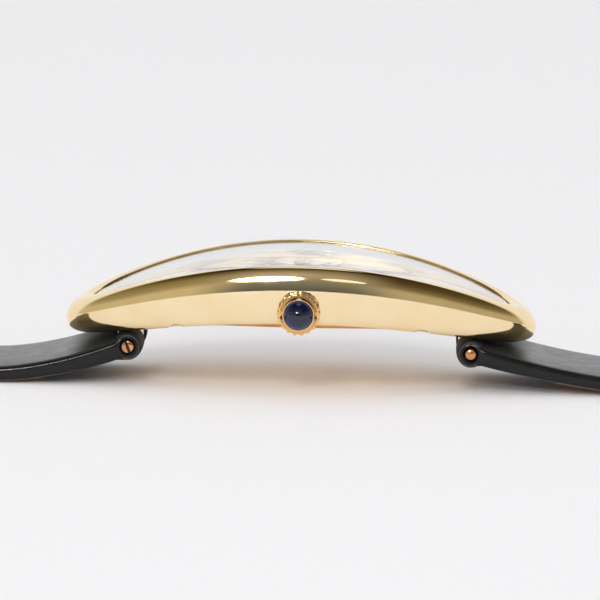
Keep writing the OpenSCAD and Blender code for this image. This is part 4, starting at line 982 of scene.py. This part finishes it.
BEAD_R, BEAD_WIDE, BEAD_HIGH = 1.14, 0.11, 0.07
LUG_ROOM = LUG_HALF + 0.15
PAST_EDGE = 9
STRAPS = (("strap_12", 1, LENGTH_12, False), ("strap_6", -1, LENGTH_6, True))
for body, side, length, pointed in STRAPS:
    made = strap(body, side, length, pointed)
    bar = side * BAR_AT
    fork = sorted((bar - side * 3, bar + side * 1.6))
    cut(made, *block((fork[0], -LUG_ROOM, BAR_Z - 3), (fork[1], LUG_ROOM, BAR_Z + 3)))
    cut(made, *rod((bar, -PAST_EDGE, BAR_Z), (bar, PAST_EDGE, BAR_Z), BORE_R))
    for end, y in (("a", -1), ("b", 1)):
        cut(made, *rod((bar, y * 6.0, BAR_Z), (bar, y * PAST_EDGE, BAR_Z), BORE_R + 0.16))
        # the raw end of the rolled leather shows as a low bead round the hole
        face_y = strap_half(0.0, length, pointed) - 0.02
        bead = [(BEAD_R + BEAD_WIDE * math.cos(t), y * (face_y + BEAD_HIGH * math.sin(t)))
                for t in angles(12)]
        turned(f"{body}_ear_bead_{end}", bead + bead[:1], (bar, BAR_Z), 1, raw_edge, body, "leather")

# Linings
# The lining is thin tan calf, glued under each strap and skived flush with the edge.

HOLE_R, HOLE_PITCH, HOLES, HOLES_FROM_END = 0.9, 6.0, 7, 24
PIN_BORE_R = 0.7
for body, side, length, pointed in STRAPS:
    last = length - (0.15 if pointed else SWELL + 1.0)
    line = [LINING_FROM + 0.4 * i for i in range(12)]
    line += [line[-1] + (last - line[-1]) * (1 - (1 - i / 50) ** 1.4) for i in range(1, 51)]
    rings = []
    for s in line:
        half = max(0.05, strap_half(s, length, pointed) * LINING_SHARE - 0.02)
        z = strap_low(s, pointed)
        rings += [(side * (BAR_AT + s), y, z + h) for y, h in (
            (-half, 0.38), (-half, 0.1), (-half + 0.01, 0.03), (-half + 0.04, 0.0),
            (half - 0.04, 0.0), (half - 0.01, 0.03), (half, 0.1), (half, 0.38))]
    made = piece(f"{body}_lining_calf", rings, bar_faces(len(line), 8), suede, body, "lining",
                 [f"{body}_lining"], crease=40)
    upper = bpy.data.objects[f"{body}_calf"]
    if pointed:
        # seven round holes for the buckle's tongue, punched through leather and lining
        for k in range(HOLES):
            x = -BAR_AT - (length - HOLES_FROM_END - k * HOLE_PITCH)
            for target in (made, upper):
                cut(target, *rod((x, 0, TABLE_Z - 1), (x, 0, TABLE_Z + 4), HOLE_R))
    else:
        # the slot in which the tongue turns, and the bore for the buckle's spring bar
        x = BAR_AT + length
        cut(upper, *block((x - 3.2, -1.3, TABLE_Z - 1), (x + 6.8, 1.3, TABLE_Z + 7)))
        cut(upper, *rod((x, -PAST_EDGE, BUCKLE_Z), (x, PAST_EDGE, BUCKLE_Z), PIN_BORE_R))

# Stitching
# The long edges are glued and turned, without a seam. Waxed linen thread shows only where
# two short rows hold the fold at the buckle, next to the sewn keeper.

thread, tree, shader, place = finish("waxed_linen_thread")
# the two plies twist 0.24 mm from one to the next, and the wax gives them a dull shine
twist = node(tree, "TexWave", {
    "Vector": place, "Scale": WAVE * per_metre(0.2417), "Distortion": 1.0}, bands_direction="DIAGONAL")
grained(tree, shader, twist.outputs["Fac"], [(0.2, "#0C0C0E"), (0.8, "#26262A")], 0.5, 0.00003)
feed(tree, shader, {"Roughness": 0.5})
STITCH, STITCH_GAP = 1.5, 0.5
THREAD_WIDE, THREAD_HIGH, THREAD_RISE = 0.17, 0.1, 0.12
points, faces = [], []
for row in (LENGTH_12 - 9.2, LENGTH_12 - 23.0):
    y = -4.9
    while y + STITCH < 5:
        base = len(points)
        for k in range(9):
            f = k / 8
            gap = STRAP_HALF - abs(y + STITCH * f)
            rise = strap_top(row, False) - PADDING * (1 - smooth(gap / BORDER))
            rise += THREAD_RISE * math.sin(math.pi * f) ** 0.6 - 0.06
            for a in angles(8):
                points.append((BAR_AT + row + THREAD_WIDE * math.cos(a), y + STITCH * f,
                               rise + THREAD_HIGH * math.sin(a)))
        faces += [tuple(base + j for j in face) for face in bar_faces(9, 8)]
        y += STITCH + STITCH_GAP
piece("strap_12_stitching", points, faces, thread, "strap_12", "leather", crease=60)

# Keepers
# Two loops of the same calf hold the strap's tip. The one by the buckle is sewn in, and
# the other slides.

KEEPER_LEN, KEEPER_HALF_THICK, KEEPER_CORNER = 4.0, 0.45, 0.75
# the leather cut across: shares of half its length, and of half its thickness
SECTION = ((-1.0, 0.25), (-0.985, 0.75), (-0.93, 1.0), (-0.5, 1.0), (0.0, 1.0), (0.5, 1.0), (0.93, 1.0),
           (0.985, 0.75), (1.0, 0.25), (1.0, -0.6), (0.9, -1.0), (-0.9, -1.0), (-1.0, -0.6))
for name, body, node_name in (("keeper_sewn", "strap_12", "fixed_keeper"),
                              ("keeper_sliding", "free_keeper", "free_keeper")):
    low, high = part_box(node_name)
    middle = (low.x + high.x) / 2 / MM
    half, top = high.y / MM - KEEPER_HALF_THICK, high.z / MM - KEEPER_HALF_THICK
    base, foot = low.z / MM + KEEPER_HALF_THICK, low.z / MM + 0.02
    # the path goes up one side, over the strap and down the other side
    path = [(half, foot, 0), (half, base, 0)]
    for cy, start in ((half - KEEPER_CORNER, 0), (-half + KEEPER_CORNER, 90)):
        for way in range(start, start + 91, 15):
            a = math.radians(way)
            path.append((cy + KEEPER_CORNER * math.cos(a),
                         top - KEEPER_CORNER + KEEPER_CORNER * math.sin(a), way))
    path += [(-half, base, 180), (-half, foot, 180)]
    points = []
    for y, z, way in path:
        a = math.radians(way)
        for x, out in SECTION:
            reach = out * KEEPER_HALF_THICK
            points.append((middle + x * KEEPER_LEN / 2, y + reach * math.cos(a),
                           z + reach * math.sin(a)))
    piece(name, points, bar_faces(len(path), len(SECTION)), calf, body, "leather", [node_name],
          crease=45)

# Buckle, tongue and spring bar
# The buckle is a bow of gold wire with flattened eyes on the spring bar, and its tongue is
# rolled from the same gold. Both are polished.

WIRE_R = 0.85
FRAME_HALF = STRAP_END_HALF + 0.35 + WIRE_R
BUCKLE_REACH = 9.0
PIN_X = BAR_AT + LENGTH_12
PIN_R = 0.65


def wire(path, radius, sides=32):
    """Points and faces of drawn wire along a path of points."""
    rings = []
    for i, p in enumerate(path):
        way = (Vector(path[min(i + 1, len(path) - 1)]) - Vector(path[max(i - 1, 0)])).normalized()
        flat = way.cross(Vector((0, 0, 1))).normalized()
        up = flat.cross(way)
        for a in angles(sides):
            rings.append(tuple(Vector(p) + radius * (flat * math.cos(a) + up * math.sin(a))))
    return rings, bar_faces(len(path), sides)


bow = []
for k in range(97):
    t = math.radians(-90 + 180 * k / 96)
    c, s = max(0.0, math.cos(t)) ** 0.45, math.sin(t)
    bow.append((PIN_X + BUCKLE_REACH * c, FRAME_HALF * math.copysign(abs(s) ** 0.5, s),
                BUCKLE_Z + (TABLE_Z + WIRE_R - BUCKLE_Z) * smooth(c)))
piece("buckle_bow_polished", *wire(bow, WIRE_R), case_gold, "buckle", "gold", ["buckle_frame"],
      crease=40)
# the eyes, flattened from the wire's ends and bored for the spring bar's tips
EYE_BORE, EYE_R = 0.46, WIRE_R + 0.25
eye = [(EYE_BORE, -WIRE_R), (EYE_R - 0.12, -WIRE_R), (EYE_R, -WIRE_R + 0.12), (EYE_R, WIRE_R - 0.12),
       (EYE_R - 0.12, WIRE_R), (EYE_BORE, WIRE_R), (EYE_BORE, -WIRE_R)]
for end, middle in (("a", -FRAME_HALF), ("b", FRAME_HALF)):
    turned(f"buckle_eye_{end}", [(r, middle + out) for r, out in eye], (PIN_X, BUCKLE_Z), 1,
           case_gold, "buckle", "gold")
# the tongue is forged flat, tapers to a blunt tip, and curls round the bar at its root
TONGUE_STEPS, TONGUE_THICK = 40, 0.55
CURL_R, CURL_BORE, CURL_HALF = PIN_R + 0.6, PIN_R + 0.05, 1.1
start = BUCKLE_Z + CURL_R - TONGUE_THICK
rest = TABLE_Z + 2 * WIRE_R + TONGUE_THICK + 0.12
points = []
for k in range(TONGUE_STEPS + 1):
    f = k / TONGUE_STEPS
    x, z = PIN_X + 0.3 + (BUCKLE_REACH + 0.2) * f, start + (rest - start) * f
    blunt = math.sqrt(max(0.05, 1 - ((f - 0.94) / 0.06) ** 2)) if f > 0.94 else 1
    half, thick = (0.9 - 0.35 * f) * blunt, (TONGUE_THICK - 0.11 * f) * blunt
    for a in angles(32):
        c, s = math.cos(a), math.sin(a)
        points.append((x, half * math.copysign(abs(c) ** 0.6, c),
                       z + thick * math.copysign(abs(s) ** 0.6, s)))
piece("tongue_forged", points, bar_faces(TONGUE_STEPS + 1, 32), case_gold, "tongue", "gold",
      ["buckle_tongue"], crease=40)
curl = [(CURL_BORE, -CURL_HALF), (CURL_R - 0.12, -CURL_HALF), (CURL_R, -CURL_HALF + 0.12),
        (CURL_R, CURL_HALF - 0.12), (CURL_R - 0.12, CURL_HALF), (CURL_BORE, CURL_HALF),
        (CURL_BORE, -CURL_HALF)]
turned("tongue_curl", curl, (PIN_X, BUCKLE_Z), 1, case_gold, "tongue", "gold")

# Table
# The watch lies on a plain white studio table that runs back out of sight.

TABLE_SIZE, TABLE_GAP = 8.0, 0.00002
bpy.ops.mesh.primitive_plane_add(size=TABLE_SIZE, location=(0, 0, TABLE_Z * MM - TABLE_GAP))
table = bpy.context.object
table.name = "studio_table"
# heavy uncoated paper: no shine, and a pulp grain that only just shows
paper, tree, shader, place = finish("matt_white_paper")
fibre = node(tree, "TexNoise", {"Vector": place, "Scale": per_metre(1.11), "Detail": 3.0})
grained(tree, shader, fibre, [(0.3, "#F3F2F4"), (0.7, "#F5F4F6")])
feed(tree, shader, {"Roughness": 0.9, "Specular IOR Level": 0.1})
table.data.materials.append(paper)

# Light
# A pale studio all round, with lamps high in front of the watch. Polished metal and glass
# mirror the darker half of the room in front, and the table is lit by the pale room.

world = bpy.data.worlds.new("studio_room")
bpy.context.scene.world = world
world.use_nodes = True
tree = world.node_tree
tree.nodes.clear()
way = node(tree, "TexCoord", {}).outputs["Generated"]
split = node(tree, "SeparateXYZ", {"Vector": way})
PALE_WALL = linear("#F2F2F4")
# what metal and glass see in front of the watch, from the table's edge (0) up to straight
# overhead (1): cool greys straight ahead, and warmer walls to the left and right
ahead = node(tree, "ValToRGB", {"Fac": split.outputs["Z"]}, [
    (0.0, "#55595A"), (0.14, "#6D7472"), (0.32, "#8E8A7E"), (0.50, "#A9A292"), (0.72, "#8A8270"),
    (0.86, "#6E6452"), (0.93, "#2A2418"), (0.965, "#14110A"), (0.985, "#F2F2F4")])
left_wall = node(tree, "ValToRGB", {"Fac": split.outputs["Z"]}, [
    (0.0, "#C4BEA8"), (0.25, "#C6BDA0"), (0.40, "#9A9274"), (0.66, "#807850"), (0.82, "#4A4226"),
    (0.955, "#14110A"), (0.985, "#F2F2F4")])
right_wall = node(tree, "ValToRGB", {"Fac": split.outputs["Z"]}, [
    (0.0, "#B4AE96"), (0.24, "#B4AE96"), (0.38, "#7A7050"), (0.58, "#564C30"), (0.90, "#3A3220"),
    (0.955, "#14110A"), (0.985, "#F2F2F4")])
to_left = node(tree, "MapRange", {
    "Value": split.outputs["X"], "From Min": -0.55, "From Max": -0.22, "To Min": 1.0, "To Max": 0.0},
    interpolation_type="SMOOTHSTEP")
to_right = node(tree, "MapRange", {
    "Value": split.outputs["X"], "From Min": 0.16, "From Max": 0.5, "To Min": 0.0, "To Max": 1.0},
    interpolation_type="SMOOTHSTEP")
half_room = node(tree, "Mix", {"Factor": to_left, "A": ahead, "B": left_wall}, data_type="RGBA")
room = node(tree, "Mix", {
    "Factor": to_right, "A": half_room.outputs["Result"], "B": right_wall}, data_type="RGBA")
front = node(tree, "MapRange", {
    "Value": split.outputs["Y"], "From Min": 0.24, "From Max": 0.46, "To Min": 1.0, "To Max": 0.0},
    interpolation_type="SMOOTHSTEP")
seen = node(tree, "Mix", {
    "Factor": front, "A": PALE_WALL, "B": room.outputs["Result"]}, data_type="RGBA")
mirrored = node(tree, "Background", {"Color": seen.outputs["Result"], "Strength": 1.0})
# what lights the table: a pale room, brighter towards a diffuser high in front of the watch
KEY = Vector((-0.13, -0.78, 0.60)).normalized()
toward = node(tree, "VectorMath", {0: way, 1: KEY}, operation="DOT_PRODUCT")
walls = node(tree, "MapRange", {
    "Value": toward.outputs["Value"], "From Min": -0.4, "From Max": 0.9, "To Min": 0.72, "To Max": 0.79})
low_walls = node(tree, "MapRange", {
    "Value": split.outputs["Z"], "From Min": 0.0, "From Max": 0.4, "To Min": 0.8, "To Max": 1.0})
pale = node(tree, "Math", {0: walls, 1: low_walls}, operation="MULTIPLY")
diffuser = node(tree, "MapRange", {
    "Value": toward.outputs["Value"], "From Min": 0.984, "From Max": 0.996,
    "To Min": 0.0, "To Max": 13.0}, interpolation_type="SMOOTHSTEP")
strength = node(tree, "Math", {0: pale, 1: diffuser}, operation="ADD")
fill = node(tree, "Background", {"Color": linear("#FFFFFF"), "Strength": strength})
backdrop = node(tree, "Background", {"Color": PALE_WALL, "Strength": 1.0})
paths = node(tree, "LightPath", {})
gloss = node(tree, "MixShader", {0: paths.outputs["Is Glossy Ray"], 1: fill, 2: mirrored})
straight = node(tree, "Math", {
    0: paths.outputs["Is Camera Ray"], 1: paths.outputs["Is Transmission Ray"]}, operation="MAXIMUM")
everything = node(tree, "MixShader", {0: straight, 1: gloss, 2: backdrop})
node(tree, "OutputWorld", {"Surface": everything})


def soft_box(name, place, size, power):
    """An oval lamp at a place in metres, with its power in watts, turned to the watch."""
    lamp = bpy.data.lights.new(name, "AREA")
    lamp.shape = "ELLIPSE"
    lamp.size, lamp.size_y = size
    lamp.energy = power
    made = bpy.data.objects.new(name, lamp)
    bpy.context.scene.collection.objects.link(made)
    made.location = place
    made.rotation_euler = (-Vector(place)).to_track_quat("-Z", "Y").to_euler()


soft_box("wide_box", (-0.175, -0.9, 0.37), (0.35, 0.19), 1.0)
soft_box("small_box", (0.19, -0.9, 0.38), (0.22, 0.09), 0.05)
# the bare flash tube shows as a hot spot in the middle of the wide box
soft_box("flash_tube", (-0.16, -0.86, 0.35), (0.08, 0.08), 0.9)

# Camera
# The photograph looks at the crown side from nine degrees above the table, with a long
# lens held a little out of level.

AIM = Vector((-0.00015, 0, 0.0014))
DISTANCE = 0.6
AZIMUTH, ELEVATION, ROLL = math.radians(1.3), math.radians(8.6), math.radians(1.1)
lens = bpy.data.cameras.new("studio_camera")
lens.lens = 360
lens.sensor_width = 36
lens.clip_start = 0.05
camera = bpy.data.objects.new("studio_camera", lens)
bpy.context.scene.collection.objects.link(camera)
way = Vector((math.sin(AZIMUTH) * math.cos(ELEVATION), -math.cos(AZIMUTH) * math.cos(ELEVATION),
              math.sin(ELEVATION)))
camera.location = AIM + way * DISTANCE
turn = way.to_track_quat("Z", "Y").to_matrix() @ Matrix.Rotation(ROLL, 3, "Z")
camera.rotation_euler = turn.to_euler()
bpy.context.scene.camera = camera
bpy.context.scene.view_settings.view_transform = "Standard"
